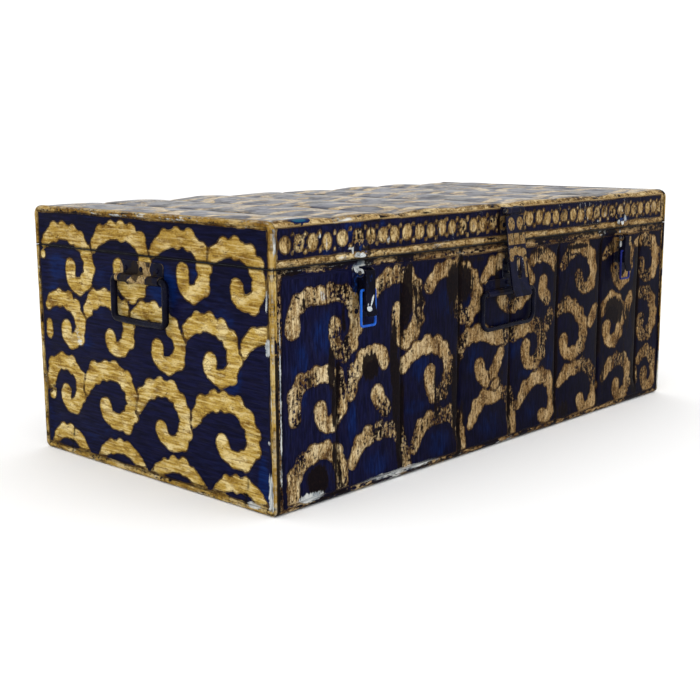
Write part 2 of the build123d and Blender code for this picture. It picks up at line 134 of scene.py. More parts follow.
class Ornament:
    """Scalloped crooks and round blobs laid out on one flat face."""

    def __init__(self, seed, width=1.0, inset=1.3, trim=4.0, start=4.8):
        self.rng = np.random.default_rng(seed)
        self.w = width
        self.inset, self.trim, self.start = inset, trim, start
        self.items = []

    def crook(self, pts, lobes=True, tip=True, start=None):
        """One stroke: a narrow start, scalloped along its outer side, ending in a round bulb."""
        rng = self.rng
        q = spline(pts)
        dirs = np.gradient(q, axis=0)
        dirs /= np.linalg.norm(dirs, axis=1)[:, None]
        turn = np.sum(dirs[:-1, 0] * dirs[1:, 1] - dirs[:-1, 1] * dirs[1:, 0])
        side = 1.0 if turn > 0 else -1.0
        out = np.stack([dirs[:, 1], -dirs[:, 0]], 1) * side
        q = q - out * self.inset
        s = np.concatenate([[0], np.cumsum(np.linalg.norm(np.diff(q, axis=0), axis=1))])
        keep = s <= s[-1] - (self.trim if tip else 0)
        q, out, s = q[keep], out[keep], s[keep]
        L = s[-1]
        core = (7.1 if lobes else 7.8) * self.w
        r0 = (self.start if start is None else start) * self.w
        r = np.full(len(q), core)
        r -= (core - r0) * (1 - smooth(0, min(15, L * 0.4), s))
        r += rng.normal(0, 0.10, len(q))
        if tip:
            r += 0.9 * self.w * np.exp(-((L - s) / 9.0) ** 2) - 0.5 * np.exp(-((L - 14 - s) / 5.0) ** 2)
        circles = []
        if lobes:
            at = 4.0 + rng.uniform(0, 3)
            while at < L - 13:
                k = int(np.searchsorted(s, at))
                grow = float(smooth(0, 13, at)) * (1 - 0.55 * float(smooth(L - 34, L - 14, at)))
                c = q[k] + out[k] * (3.1 * self.w + rng.normal(0, 0.45)) * grow
                circles.append((c, (4.9 + 2.0 * grow) * self.w * rng.uniform(0.92, 1.08)))
                if rng.uniform() < 0.6:
                    circles.append((q[k] - out[k] * 2.7 * self.w, 6.2 * self.w * rng.uniform(0.92, 1.06) * max(grow, 0.7)))
                at += 13.2 * self.w * rng.uniform(0.84, 1.18)
        self.items.append((q, r, circles))

    def blob(self, x, y, r, r2=None):
        if r2 is None:
            self.items.append((np.array([[x, y], [x + 0.01, y]]), np.array([r, r]), []))
        else:
            n = np.array([[x, y - (r2 - r)], [x, y + (r2 - r)]])
            self.items.append((n, np.array([r, r]), []))

    def distance(self, x, y, gap=0.4):
        """Signed distance to the ornament, in mm, below zero inside, with a hair line where two strokes meet."""
        P = np.stack([np.ravel(x), np.ravel(y)], 1)
        d1 = np.full(len(P), 40.0)
        d2 = np.full(len(P), 40.0)
        for q, r, circles in self.items:
            lo, hi = q.min(0) - 24, q.max(0) + 24
            near = np.nonzero(np.all((P > lo) & (P < hi), axis=1))[0]
            if not len(near):
                continue
            d = chain_distance(P[near], q, r)
            for c, cr in circles:
                d = np.minimum(d, np.linalg.norm(P[near] - c, axis=1) - cr)
            a, b = d1[near], d2[near]
            d2[near] = np.minimum(np.maximum(a, d), b)
            d1[near] = np.minimum(a, d)
        return np.maximum(d1, gap - (d2 - d1) / 2).reshape(np.shape(x))


CROOK = np.array([(0, 27), (10, 42), (25, 50), (42, 52), (58, 48), (70, 37), (72, 20), (65, 3), (47, 0), (33, 5), (30, 18)], float)


def rows_of_crooks(orn, x0, x1, y0, y1, pitch=78.0, rise=65.0, flip=False):
    """Fills a rectangle with staggered rows of crooks, each a little different."""
    rng = orn.rng
    row = 0
    y = y0
    while y < y1:
        x = x0 + (-40 if row % 2 else -8) + rng.uniform(-6, 6)
        while x < x1:
            s = rng.uniform(0.94, 1.05)
            a = rng.uniform(-0.09, 0.09)
            p = (CROOK - (36, 26)) * s + rng.normal(0, 1.1, CROOK.shape)
            if flip:
                p[:, 0] *= -1
            c, n = math.cos(a), math.sin(a)
            p = p @ np.array([[c, n], [-n, c]]) + (x + 36, y + 26)
            orn.crook(p)
            x += pitch * s + rng.uniform(-2, 3)
        y += rise + rng.uniform(-2, 2)
        row += 1


# ------------------------------------------------------------------ the ornament, face by face
# Left end: (distance from the front face, height). Centre lines of the painted strokes.
END_SCROLLS = [
    [(313, 200), (304, 207), (293, 211), (280, 212), (266, 210), (254, 205), (246, 197), (241, 187), (241, 175), (250, 164), (263, 161), (272, 168), (272, 185)],
    [(234, 200), (228, 208), (213, 215), (198, 217), (183, 216), (170, 211), (161, 203), (157, 190), (160, 177), (172, 164), (187, 163), (197, 173), (198, 190)],
    [(149, 201), (141, 208), (130, 213), (116, 216), (101, 215), (90, 210), (82, 201), (80, 188), (84, 175), (94, 169), (104, 170), (110, 179), (108, 193)],
    [(74, 201), (66, 207), (54, 211), (41, 212), (30, 208), (21, 202), (15, 193), (14, 181), (20, 170), (32, 167), (42, 172), (43, 185)],
    [(311, 141), (302, 148), (288, 150), (274, 146), (263, 138), (257, 126), (263, 114), (274, 108), (283, 114), (282, 127)],
    [(250, 139), (240, 151), (226, 156), (210, 155), (197, 149), (188, 142), (183, 131), (188, 118), (201, 109), (212, 113), (215, 125)],
    [(183, 141), (171, 147), (156, 151), (142, 149), (128, 143), (118, 133), (114, 121), (122, 108), (136, 104), (147, 111), (145, 125)],
    [(109, 134), (100, 144), (86, 149), (70, 147), (56, 142), (47, 131), (46, 117), (55, 105), (70, 103), (79, 111), (74, 122)],
    [(36, 129), (29, 139), (17, 145), (0, 148)],
    [(314, 60), (312, 72), (305, 83), (296, 89), (283, 89), (270, 84), (263, 73), (264, 60), (272, 48), (284, 46), (291, 55), (287, 65)],
    [(256, 66), (247, 79), (232, 88), (214, 90), (198, 87), (186, 76), (183, 61), (191, 47), (207, 42), (223, 47), (227, 60)],
    [(180, 58), (171, 72), (157, 82), (140, 86), (124, 82), (113, 71), (110, 56), (115, 42), (128, 36), (141, 40), (148, 52)],
    [(101, 62), (91, 75), (77, 83), (60, 86), (44, 84), (31, 74), (25, 60), (30, 44), (44, 37), (60, 41), (67, 54)],
    [(311, 9), (303, 18), (287, 22), (270, 18), (257, 6)],
    [(236, 8), (225, 17), (210, 21), (194, 21), (180, 15), (170, 6)],
    [(157, 7), (145, 14), (129, 19), (114, 19), (100, 14), (88, 5)],
    [(74, 7), (64, 15), (51, 19), (34, 19), (22, 15), (12, 5)],
]
END_WIDTHS = {10: 1.1, 13: 0.9, 14: 0.85, 15: 0.84, 16: 0.86}
# Front: (distance from the left end, height).
FRONT_SCROLLS = [
    [(22, 148), (23, 160), (29, 168), (42, 172), (58, 171), (74, 172), (87, 167), (94, 155), (93, 140), (88, 128), (79, 122), (73, 128), (70, 138), (70.5, 146)],
    [(121, 168), (128, 176), (142, 180), (156, 179), (167, 172), (173, 160), (175, 145), (171, 132), (163, 124), (154, 123), (148, 130), (147, 142), (148, 149)],
    [(190, 166), (200, 175), (214, 179), (230, 179), (244, 174), (254, 164), (258, 150), (254, 138), (244, 132), (235, 135), (232, 145), (232, 153)],
    [(269, 165), (280, 174), (296, 178), (314, 178), (330, 176), (340, 167), (344, 155), (338, 144), (326, 137), (312, 134), (302, 139), (297, 145)],
    [(345, 172), (355, 179), (370, 179), (383, 174), (390, 167)],
    [(369, 153), (368, 144), (376, 135)],
    [(404, 165), (412, 174), (425, 180), (440, 181), (453, 174), (460, 162), (461, 150), (455, 141), (445, 139), (437, 143), (433, 152)],
    [(484, 168), (494, 176), (510, 179), (526, 179), (536, 170), (535, 156), (528, 142), (517, 137), (508, 142), (503, 153)],
    [(549, 178), (562, 180), (576, 179), (588, 171), (592, 158), (589, 146), (580, 140), (570, 140), (563, 147), (562, 154)],
    [(23, 76), (24, 92), (30, 103), (44, 107), (58, 107), (70, 104), (76, 93), (76, 78), (70, 67), (60, 64), (54, 70), (52, 79)],
    [(89, 84), (92, 100), (102, 112), (114, 117), (126, 115), (130, 107)],
    [(121, 81), (124, 74), (132, 66)],
    [(156, 97), (164, 106), (178, 112), (194, 113), (208, 108), (216, 98), (218, 84), (213, 71), (204, 65), (195, 69), (191, 79), (191.5, 88)],
    [(236, 97), (240, 109), (254, 114), (270, 113), (286, 107), (304, 105), (322, 106), (340, 110), (355, 112), (366, 104), (369, 91), (365, 79), (353, 73),
     (343, 76), (340, 87), (341, 91)],
    [(265, 83), (268, 74), (277, 67)],
    [(299, 91), (292, 80), (286, 71)],
    [(376, 105), (384, 118)],
    [(397, 118), (408, 124), (422, 122), (435, 113), (444, 99), (444, 85), (436, 75), (422, 72), (411, 77), (409, 88)],
    [(458, 101), (468, 113)],
    [(482, 107), (489, 116), (500, 121), (512, 118), (521, 107), (519, 92), (515, 80), (505, 74), (495, 77), (491, 88), (493, 92)],
    [(532, 100), (536, 112), (541, 119)],
    [(556, 121), (570, 121), (583, 115), (590, 103), (591, 89), (585, 77), (575, 72), (566, 75), (564, 86), (566, 91)],
    [(20, 10), (22, 27), (34, 39), (50, 44), (62, 42), (73, 33), (77, 18), (77, 5)],
    [(90, 25), (97, 37), (112, 46), (130, 47), (143, 44), (152, 36), (157, 20), (160, 4)],
    [(170, 22), (177, 35), (190, 44), (208, 45), (224, 43), (234, 34), (238, 18), (238, 4)],
    [(253, 28), (262, 42), (273, 50), (288, 49), (303, 51), (315, 44), (319, 28), (319, 6)],
    [(288, 62), (293, 60)],
    [(330, 34), (340, 46), (354, 54), (370, 57), (383, 50), (389, 38), (389, 24), (382, 14), (371, 16)],
    [(403, 44), (414, 53), (431, 56), (449, 56), (463, 48), (469, 33), (467, 18), (457, 10), (446, 12), (442, 20)],
    [(488, 36), (497, 46), (511, 52), (526, 51), (537, 43), (540, 28), (535, 15), (524, 11), (515, 16), (515, 25)],
    [(564, 44), (574, 52), (587, 50), (596, 39), (598, 24), (591, 13), (581, 12), (576, 20), (577, 28)],
    [(555, 36), (556, 24)],
]
BULB_STARTS = {0: 8.4, 2: 7.6, 5: 7.8, 9: 7.2, 11: 8.4, 14: 8.2, 15: 6.4, 16: 4.8, 18: 7.0, 20: 6.0, 22: 7.4, 26: 5.2, 31: 4.0}

end_orn = Ornament(11, 1.0)
for i, line in enumerate(END_SCROLLS):
    end_orn.w = 1.07 * END_WIDTHS.get(i, 1.0)
    end_orn.crook(line, tip=len(line) > 6)
end_orn.w = 1.0
end_orn.blob(315, 188, 4.5)
end_orn.blob(310, 118, 5.5, 10)
end_orn.blob(311, 56, 5.5, 7)

front_orn = Ornament(23, 1.0, inset=0.0, trim=0.0, start=5.4)
for i, line in enumerate(FRONT_SCROLLS):
    front_orn.crook(line, tip=len(line) > 8, lobes=len(line) > 3, start=BULB_STARTS.get(i))

right_orn = Ornament(37, 0.97)
rows_of_crooks(right_orn, 6, 330, -38, 230, flip=False)
back_orn = Ornament(41, 0.90)
rows_of_crooks(back_orn, 6, 620, -34, 190)
top_orn = Ornament(53, 0.88)
rows_of_crooks(top_orn, 8, 616, -32, 330)


def blank(n):
    """The paint channels of a mesh, all empty."""
    return {"gold": np.full(n, 20.0), "smear": np.zeros(n), "wear": np.zeros(n), "pale": np.zeros(n),
            "cobalt": np.zeros(n), "crease": np.zeros(n), "edge": np.zeros(n), "gloss": np.zeros(n), "grime": np.zeros(n)}


def patch(x, y, cx, cy, rx, ry, power=2.0):
    """1 in the middle of a soft ellipse, 0 outside."""
    d = (np.abs((x - cx) / rx) ** power + np.abs((y - cy) / ry) ** power) ** (1 / power)
    return 1 - smooth(0.35, 1.25, d)


def paint_end(yf, z, orn, seed, left=True):
    """An end panel: yf from the front, z up. Works on body and lid alike, so the ornament crosses the seam."""
    A = blank(np.shape(yf))
    wob = (vnoise(yf, z, 22, seed) - 0.5) * 1.6
    edge = np.minimum(np.minimum(yf, 325 - yf), np.minimum(z - 1.0, HGT - z))
    border = edge - (5.4 + wob + 1.8 * (smooth(0.4, 0.8, vnoise(yf + 40, z * 0.7, 13, seed + 29)) - 0.4) * (yf < 40))
    ornament = orn.distance(yf, z)
    A["gold"] = np.minimum(border, np.maximum(ornament, 6.4 + wob - edge))
    # dirt settles where the folded rim meets the sheet
    A["crease"] = 0.75 * np.exp(-((edge - 3.9) / 0.55) ** 2) * (0.55 + 0.45 * vnoise(yf, z, 30, seed + 5))
    # painted shade along the two pressed creases across the end, at heights 138 and 63
    for cz, amp in ((138.0, 0.45), (63.0, 0.38)):
        A["crease"] = np.maximum(A["crease"], amp * np.exp(-((z - cz - 1.2 * (vnoise(yf, z * 0, 60, seed + 2) - 0.5)) / 0.55) ** 2))
    A["wear"] = 0.10 + 0.22 * smooth(0.55, 0.85, vnoise(yf, z, 34, seed + 7)) + 0.30 * (edge < 7)
    A["cobalt"] = 0.35 * smooth(0.5, 0.85, vnoise(yf, z * 1.6, 46, seed + 9))
    if left:
        for cx, cy, rx, ry, a in ((135, 172, 26, 24, 0.95), (52, 105, 20, 16, 0.75), (14, 24, 9, 30, 1.0), (300, 150, 16, 22, 0.6),
                                  (292, 178, 22, 18, 0.7), (250, 112, 16, 12, 0.6), (210, 175, 34, 18, 0.5), (170, 175, 20, 20, 0.5),
                                  (60, 150, 24, 16, 0.55), (230, 145, 26, 12, 0.4), (18, 215, 10, 14, 0.35), (90, 190, 12, 10, 0.6)):
            A["cobalt"] = np.maximum(A["cobalt"], a * patch(yf, z, cx, cy, rx, ry))
        # the pale strips down the rim by the front corner (yf 2.6 to 7.5) are painted highlight along the rolled edge
        A["pale"] = 1.0 * patch(yf, z, 5.0, 19, 4.3, 20, 4)
        A["pale"] = np.maximum(A["pale"], 1.0 * patch(yf, z, 6.5, 136, 4.0, 9, 3))
        A["pale"] = np.maximum(A["pale"], 0.85 * patch(yf, z, 7.5, 172, 1.8, 12, 3))
        A["pale"] = np.maximum(A["pale"], 0.85 * patch(yf, z, 6.5, 60, 2.5, 3))
        A["pale"] = np.maximum(A["pale"], 0.72 * patch(yf, z, 2.6, 92, 1.4, 30, 4))
        A["pale"] = np.maximum(A["pale"], 0.80 * patch(yf, z, 26, 5, 12, 4))
        A["pale"] = np.maximum(A["pale"], 0.45 * smooth(0.45, 0.75, vnoise(yf, z * 0.4, 9, seed + 23)) * (edge < 6))
        A["pale"] = np.maximum(A["pale"], 0.55 * patch(yf, z, 160, 230, 150, 2.2, 4))
        A["pale"] = np.maximum(A["pale"], 0.45 * patch(yf, z, 321, 90, 3, 80, 4))
        A["pale"] = np.maximum(A["pale"], 0.55 * patch(yf, z, 262, 118, 12, 16))
        for cx, z0, z1 in ((279.5, 3, 26), (34.0, 2, 26)):
            bend = 1.5 * np.sin(z / 5.0)
            A["crease"] = np.maximum(A["crease"], 0.95 * np.exp(-((yf - cx - bend) / 0.7) ** 2) * (z < z1))
            A["smear"] = np.maximum(A["smear"], 0.6 * patch(yf, z, cx + 2, 10, 5, 10))
        A["smear"] = np.maximum(A["smear"], 0.55 * patch(yf, z, 281, 16, 12, 8))
    else:
        A["pale"] = 0.6 * smooth(0.6, 0.85, vnoise(yf, z, 40, seed + 3)) * (edge < 7)
    A["grime"] = 0.10 + 0.38 * (z > SEAM) + 0.25 * smooth(150, 40, yf) * smooth(140, 175, z) * (z < SEAM) + 0.35 * (edge < 6)
    A["wear"] = A["wear"] + 0.25 * (edge < 6)
    A["smear"] = np.maximum(A["smear"], 0.40 * (edge < 6) * smooth(0.45, 0.75, vnoise(yf + z, z, 18, seed + 17)))
    A["pale"] = np.maximum(A["pale"], 0.55 * np.exp(-((edge - 0.6) / 0.9) ** 2) * smooth(0.35, 0.7, vnoise(yf, z, 26, seed + 19)))
    return A


# dark smears over the front: x from the left end, z, half widths, strength
FRONT_SMEARS = [
    (162, 165, 9, 28, 0.80), (175, 150, 8, 32, 0.55), (226, 166, 15, 22, 0.80), (222, 146, 8, 16, 0.6), (112, 106, 12, 14, 0.95),
    (146, 78, 6, 42, 0.90), (70, 82, 5, 30, 0.85), (228, 60, 5, 56, 0.75), (92, 148, 3, 22, 0.45), (69, 28, 5, 30, 0.6),
    (151, 30, 6, 30, 0.85), (513, 106, 16, 16, 0.90), (510, 150, 9, 18, 0.5), (392, 150, 7, 34, 0.55), (395, 60, 6, 56, 0.65),
    (330, 158, 14, 24, 0.5), (306, 178, 10, 14, 0.6), (445, 62, 8, 16, 0.4), (476, 90, 9, 40, 0.7), (553, 120, 8, 66, 0.85),
    (553, 40, 8, 36, 0.8), (590, 92, 9, 18, 0.35), (535, 96, 8, 20, 0.55), (370, 60, 14, 16, 0.35), (412, 14, 14, 12, 0.6),
    (48, 20, 15, 16, 0.85), (82, 150, 5, 20, 0.5), (300, 66, 6, 14, 0.5), (353, 178, 12, 10, 0.5), (470, 150, 6, 40, 0.55), (530, 60, 6, 34, 0.5),
    (410, 130, 8, 20, 0.5), (345, 40, 8, 16, 0.4), (487, 40, 6, 30, 0.5), (430, 183, 30, 4, 0.7), (360, 184, 26, 4, 0.6), (250, 184, 30, 4, 0.55), (42, 164, 6, 6, 0.45),
    (240, 164, 13, 20, 0.88), (143, 112, 6, 40, 0.85), (66, 110, 5, 22, 0.85), (160, 160, 7, 34, 0.8), (36, 167, 6, 8, 0.62), (504, 110, 18, 15, 0.95), (202, 60, 6, 26, 0.6),
    (240, 40, 5, 20, 0.5), (186, 40, 10, 10, 0.45), (42, 104, 8, 8, 0.5), (28, 80, 4, 22, 0.45), (497, 178, 8, 10, 0.45), (575, 60, 14, 8, 0.4),
]
FRONT_COBALT = [
    (58, 140, 22, 24, 0.62), (30, 110, 14, 44, 0.55), (62, 60, 10, 44, 0.5), (97, 181, 6, 12, 1.0), (114, 180, 7, 8, 0.9), (112, 160, 12, 22, 0.6), (214, 150, 16, 20, 0.55),
    (178, 96, 16, 18, 0.65), (170, 60, 24, 10, 0.5), (258, 90, 18, 20, 0.62), (300, 120, 26, 12, 0.45), (320, 92, 22, 16, 0.6), (282, 22, 24, 20, 0.55),
    (206, 20, 22, 18, 0.65), (120, 20, 22, 16, 0.6), (310, 156, 20, 14, 0.5), (350, 24, 16, 16, 0.5), (384, 60, 12, 40, 0.6), (415, 165, 12, 14, 0.4),
    (440, 90, 8, 14, 0.4), (536, 150, 14, 20, 0.8), (520, 186, 12, 8, 0.6), (566, 100, 8, 20, 0.4), (596, 60, 8, 40, 0.35), (90, 60, 8, 24, 0.7),
    (30, 180, 18, 10, 0.35), (350, 66, 30, 10, 0.55), (250, 140, 12, 20, 0.6),
]


def paint_front(xl, z):
    """The body's front: xl from the left end, z up."""
    A = blank(np.shape(xl))
    wob = (vnoise(xl, z, 18, 71) - 0.5) * 2.0
    edge = np.minimum(np.minimum(xl - 4.2, 608.5 - xl), np.minimum(z, SEAM - z + 0.6))
    top_edge = SEAM - z + 0.6 < edge + 0.01
    border = edge - np.where((xl < 20) | (xl > 600), 3.6 + 2.4 * smooth(80, 150, z), 6.6) - wob - 2.4 * top_edge * smooth(60, 300, xl)
    ornament = front_orn.distance(xl, z)
    A["gold"] = np.minimum(border, np.maximum(ornament, 6.2 - edge))
    A["wear"] = 0.50 + 0.48 * smooth(0.42, 0.78, vnoise(xl, z * 0.5, 26, 73)) + 0.35 * (edge < 8)
    A["wear"] = np.maximum(A["wear"], 0.85 * patch(xl, z, 38, 98, 22, 26))
    A["wear"] = np.maximum(A["wear"], 0.8 * patch(xl, z, 205, 88, 14, 26))
    A["wear"] = np.maximum(A["wear"], 0.75 * patch(xl, z, 112, 36, 26, 14))
    g = np.abs(xl[..., None] - 305 - GROOVES).min(-1) if np.ndim(xl) else np.abs(xl - 305 - GROOVES).min()
    bare = 1 - 0.9 * smooth(100, 92, xl) * smooth(112, 124, z)      # the first swage is clean in its upper half
    near = np.exp(-((g - 0.8) / 3.2) ** 2) * bare
    A["smear"] = 0.95 * near * (0.30 + 0.80 * vnoise(xl, z, 30, 79))
    for cx, cy, rx, ry, a in FRONT_SMEARS:
        A["smear"] = np.maximum(A["smear"], 1.15 * a * patch(xl, z, cx, cy, rx * 1.15, ry * 1.1))
    A["crease"] = 0.9 * np.exp(-(g / 0.9) ** 2) * smooth(8, 14, z) * smooth(192, 186, z) * bare
    A["crease"] = np.maximum(A["crease"], 0.9 * smooth(6.4, 5.4, xl) * smooth(0.30, 0.55, vnoise(xl * 0, z, 26, 85) + 0.25 * smooth(150, 90, z)))
    A["cobalt"] = 0.25 * smooth(0.5, 0.85, vnoise(xl * 1.8, z * 0.5, 30, 83))
    for cx, cy, rx, ry, a in FRONT_COBALT:
        A["cobalt"] = np.maximum(A["cobalt"], a * patch(xl, z, cx, cy, rx, ry))
    p = 0.80 * patch(xl, z, 8.6, 90, 1.7, 92, 4) + 0.8 * patch(xl, z, 40, 8, 22, 6)
    # painted glare at the seam and on the wall beside both latches, and a painted glint on the first scroll (xl 57)
    p = np.maximum(p, 0.95 * patch(xl, z, 100, 194, 7, 5) + 0.75 * patch(xl, z, 92, 186, 3.5, 12))
    p = np.maximum(p, 0.60 * patch(xl, z, 100, 172, 3, 20))
    p = np.maximum(p, 0.85 * patch(xl, z, 512, 192, 3.5, 6))
    p = np.maximum(p, 0.56 * patch(xl, z, 57, 171, 8, 9))
    p = np.maximum(p, 0.85 * patch(xl, z, 93, 191, 5, 4))
    p = np.maximum(p, 0.7 * patch(xl, z, 150, 6, 80, 4))
    p = np.maximum(p, 0.56 * patch(xl, z, 52, 194.2, 48, 1.5, 4))
    p = np.maximum(p, 0.5 * smooth(0.62, 0.9, vnoise(xl, z, 34, 89)) * (edge < 8))
    p = np.maximum(p, 0.55 * patch(xl, z, 58, 104, 5, 3))
    A["pale"] = np.clip(p, 0, 1)
    # darker towards the right: painted shade standing in for the light falling off across the front; also darker along
    # the edges and by the left corner
    A["grime"] = 0.10 + 0.70 * smooth(90, 250, xl) + 0.2 * smooth(260, 500, xl) + 0.25 * (edge < 7) + 0.5 * (xl < 12)
    # the strip of shadow and dark drips left of the hasp strap
    A["smear"] = np.maximum(A["smear"], 0.7 * patch(xl, z, 290, 160, 5, 32))
    return A


OVALS = [15, 30, 45, 61.5, 79.3, 97, 113, 128.5, 143.5, 160, 176.5, 191.5, 206.5, 221.5, 236.5, 252.5, 267, 281.5, 297, 312.5, 328, 342,
         358, 373, 388, 403, 419, 434, 450, 464.5, 480, 495, 511, 526, 540, 555, 570, 583.5, 596]


def paint_lid_front(xl, z):
    """The lid's front skirt: a band of ovals and dots between two borders."""
    A = blank(np.shape(xl))
    rng = np.random.default_rng(5)
    wob = (vnoise(xl, z, 16, 91) - 0.5) * 1.2
    band = np.maximum(np.abs(z - 216.0) - 12.0, np.maximum(7.0 - xl, xl - 599.5)) + wob      # below zero inside the navy band
    g = np.full(np.shape(xl), 20.0)
    fade = np.zeros(np.shape(xl))
    for i, c in enumerate(OVALS):
        cz = 215.4 + rng.normal(0, 0.5)
        a, b = 6.5 * rng.uniform(0.93, 1.05), 7.4 * rng.uniform(0.93, 1.05)
        r = np.sqrt(((xl - c) / a) ** 2 + ((z - cz) / b) ** 2)
        d = (r - 1) * 6.6
        g = np.minimum(g, d)
        lost = rng.uniform() ** 2.2
        fade = np.maximum(fade, lost * (r < 1.25))
        if i + 1 < len(OVALS):
            m = (c + OVALS[i + 1]) / 2
            for s in (-1, 1):
                r0 = rng.uniform(2.0, 2.8)
                g = np.minimum(g, np.hypot(xl - m - rng.normal(0, 0.4), z - cz - s * (7.0 + rng.normal(0, 0.4))) - r0)
    A["gold"] = np.minimum(np.maximum(g, band + 0.8), -band)
    A["wear"] = 0.30 + 0.60 * fade + 0.2 * (band > 0)
    A["smear"] = 0.08 + 0.36 * smooth(0.62, 0.9, vnoise(xl, z * 0.6, 22, 97))
    for cx, cy, rx, ry, a in ((108, 204, 9, 8, 0.7), (79, 214, 6, 10, 0.5), (246, 214, 8, 8, 0.45), (291, 214, 6, 14, 0.6), (450, 204, 34, 4, 0.6),
                              (330, 205, 30, 4, 0.5), (120, 229, 12, 3, 0.7), (480, 216, 10, 12, 0.5)):
        A["smear"] = np.maximum(A["smear"], a * patch(xl, z, cx, cy, rx, ry))
    A["cobalt"] = 0.3 * smooth(0.5, 0.9, vnoise(xl, z, 30, 101))
    A["cobalt"] = np.maximum(A["cobalt"], 1.0 * patch(xl, z, 97, 228, 9, 6))
    A["cobalt"] = np.maximum(A["cobalt"], 0.9 * patch(xl, z, 104, 204, 10, 10))
    A["cobalt"] = np.maximum(A["cobalt"], 0.8 * patch(xl, z, 522, 204, 12, 8))
    for cx, cz, rx, rz, a in ((86, 220, 6, 12, 1.0), (60, 206, 6, 8, 0.8), (128, 218, 6, 14, 0.7), (178, 212, 8, 10, 0.6)):
        A["cobalt"] = np.maximum(A["cobalt"], a * patch(xl, z, cx, cz, rx, rz))
    A["pale"] = 0.20 + 0.20 * smooth(0.45, 0.8, vnoise(xl, z * 0.6, 20, 103))
    # the patches next to the latches (around xl 89 to 102 and 520) are painted glare; the others are pale flecks in the
    # band
    for cx, cz, rx, rz, a in ((93, 205, 5, 3.5, 0.95), (102, 201, 10, 3, 0.85), (60.5, 212, 2.6, 9, 0.66), (89, 207, 6, 2, 0.8), (135, 211, 2.2, 8, 0.75),
                              (112, 211, 1.8, 8, 0.6), (53, 219, 3, 3, 0.8), (520, 206, 8, 7, 0.9), (300, 214, 2, 8, 0.55), (205, 214, 14, 6, 0.45), (260, 216, 16, 6, 0.40)):
        A["pale"] = np.maximum(A["pale"], a * patch(xl, z, cx, cz, rx, rz))
    # darker towards the right: painted shade for the light falling off along the lid's front skirt
    A["grime"] = 0.08 + 0.42 * smooth(60, 240, xl) + 0.12 * smooth(300, 560, xl) + 0.10 * (band > 0)
    A["smear"] = np.maximum(A["smear"], 0.40 * (band > 0) * smooth(0.45, 0.8, vnoise(xl, z, 16, 105)))
    return A


def paint_top(xl, yf):
    """The lid's top: yf from the front edge."""
    A = blank(np.shape(xl))
    wob = (vnoise(xl, yf, 22, 107) - 0.5) * 2.4 + 5.0 * (smooth(0.35, 0.75, vnoise(xl, yf * 0.2, 17, 111)) - 0.5) * smooth(30, 8, yf)
    edge = np.minimum(np.minimum(xl, 610 - xl), np.minimum(yf, 325 - yf))
    border = edge - 10.0 - wob
    ornament = top_orn.distance(xl, yf)
    A["gold"] = np.minimum(border, np.maximum(ornament, 10.5 - edge))
    g = np.abs(xl[..., None] - 305 - GROOVES).min(-1)
    A["wear"] = 0.45 + 0.45 * smooth(0.40, 0.75, vnoise(xl, yf, 30, 109))
    A["smear"] = 0.60 * np.exp(-(g / 4.5) ** 2) * (0.4 + vnoise(xl, yf, 24, 113))
    A["smear"] = np.maximum(A["smear"], 0.72 * smooth(0.58, 0.85, vnoise(xl, yf, 26, 127)))
    A["crease"] = 0.8 * np.exp(-(g / 0.9) ** 2) * smooth(4, 12, yf) * smooth(321, 313, yf)
    A["cobalt"] = 0.45 * smooth(0.5, 0.85, vnoise(xl, yf, 44, 131))
    A["pale"] = 0.35 * smooth(0.65, 0.9, vnoise(xl, yf, 40, 137)) + 0.42 * (edge < 6) * smooth(0.5, 0.85, vnoise(xl, yf, 15, 139))
    A["pale"] = A["pale"] * (1 - 0.9 * patch(xl, yf, 307, 0, 34, 14, 4))
    A["wear"] = np.where(edge < 11, 0.30 + 0.5 * smooth(0.5, 0.8, vnoise(xl, yf, 13, 145)), A["wear"])
    A["smear"] = np.where(edge < 11, 0.08 + 0.36 * smooth(0.55, 0.8, vnoise(xl, yf * 2, 16, 141)), A["smear"])
    # the near corner: bare, with a blue-green patch
    A["pale"] = np.maximum(A["pale"], 0.85 * patch(xl, yf, 34, 11, 26, 3.5) + 0.6 * patch(xl, yf, 6, 8, 6, 8))
    A["cobalt"] = np.maximum(A["cobalt"], 1.3 * patch(xl, yf, 34, 4.5, 14, 3.5))
    A["gold"] = np.where(patch(xl, yf, 34, 4.5, 13, 3.5) > 0.4, 4.0, A["gold"])
    A["grime"] = 0.20 + 0.10 * (edge < 12)
    A["gloss"] = smooth(3, 12, edge) * (0.75 + 0.25 * vnoise(xl, yf, 60, 143))
    return A


def paint_back(xl, z):
    """The body's back: xl from its own left end, as seen from behind."""
    A = blank(np.shape(xl))
    wob = (vnoise(xl, z, 20, 149) - 0.5) * 2.0
    edge = np.minimum(np.minimum(xl - 4, 606 - xl), np.minimum(z, SEAM - z + 0.6))
    A["gold"] = np.minimum(edge - 7.5 - wob, np.maximum(back_orn.distance(xl, z), 8.0 - edge))
    g = np.abs(xl[..., None] - 305 - GROOVES).min(-1)
    A["wear"] = 0.34 + 0.4 * smooth(0.45, 0.8, vnoise(xl, z * 0.5, 30, 151))
    A["smear"] = 0.6 * np.exp(-(g / 4.2) ** 2) * (0.4 + vnoise(xl, z, 22, 157))
    A["smear"] = np.maximum(A["smear"], 0.75 * smooth(0.68, 0.92, vnoise(xl * 1.6, z * 0.6, 28, 163)))
    A["crease"] = 0.9 * np.exp(-(g / 0.9) ** 2) * smooth(8, 14, z) * smooth(192, 186, z)
    A["cobalt"] = 0.55 * smooth(0.5, 0.8, vnoise(xl * 1.3, z * 0.6, 34, 167))
    A["grime"] = 0.25 + 0.35 * vnoise(xl, z, 80, 171)
    A["pale"] = 0.5 * smooth(0.6, 0.9, vnoise(xl, z, 34, 173)) * (edge < 8)
    return A


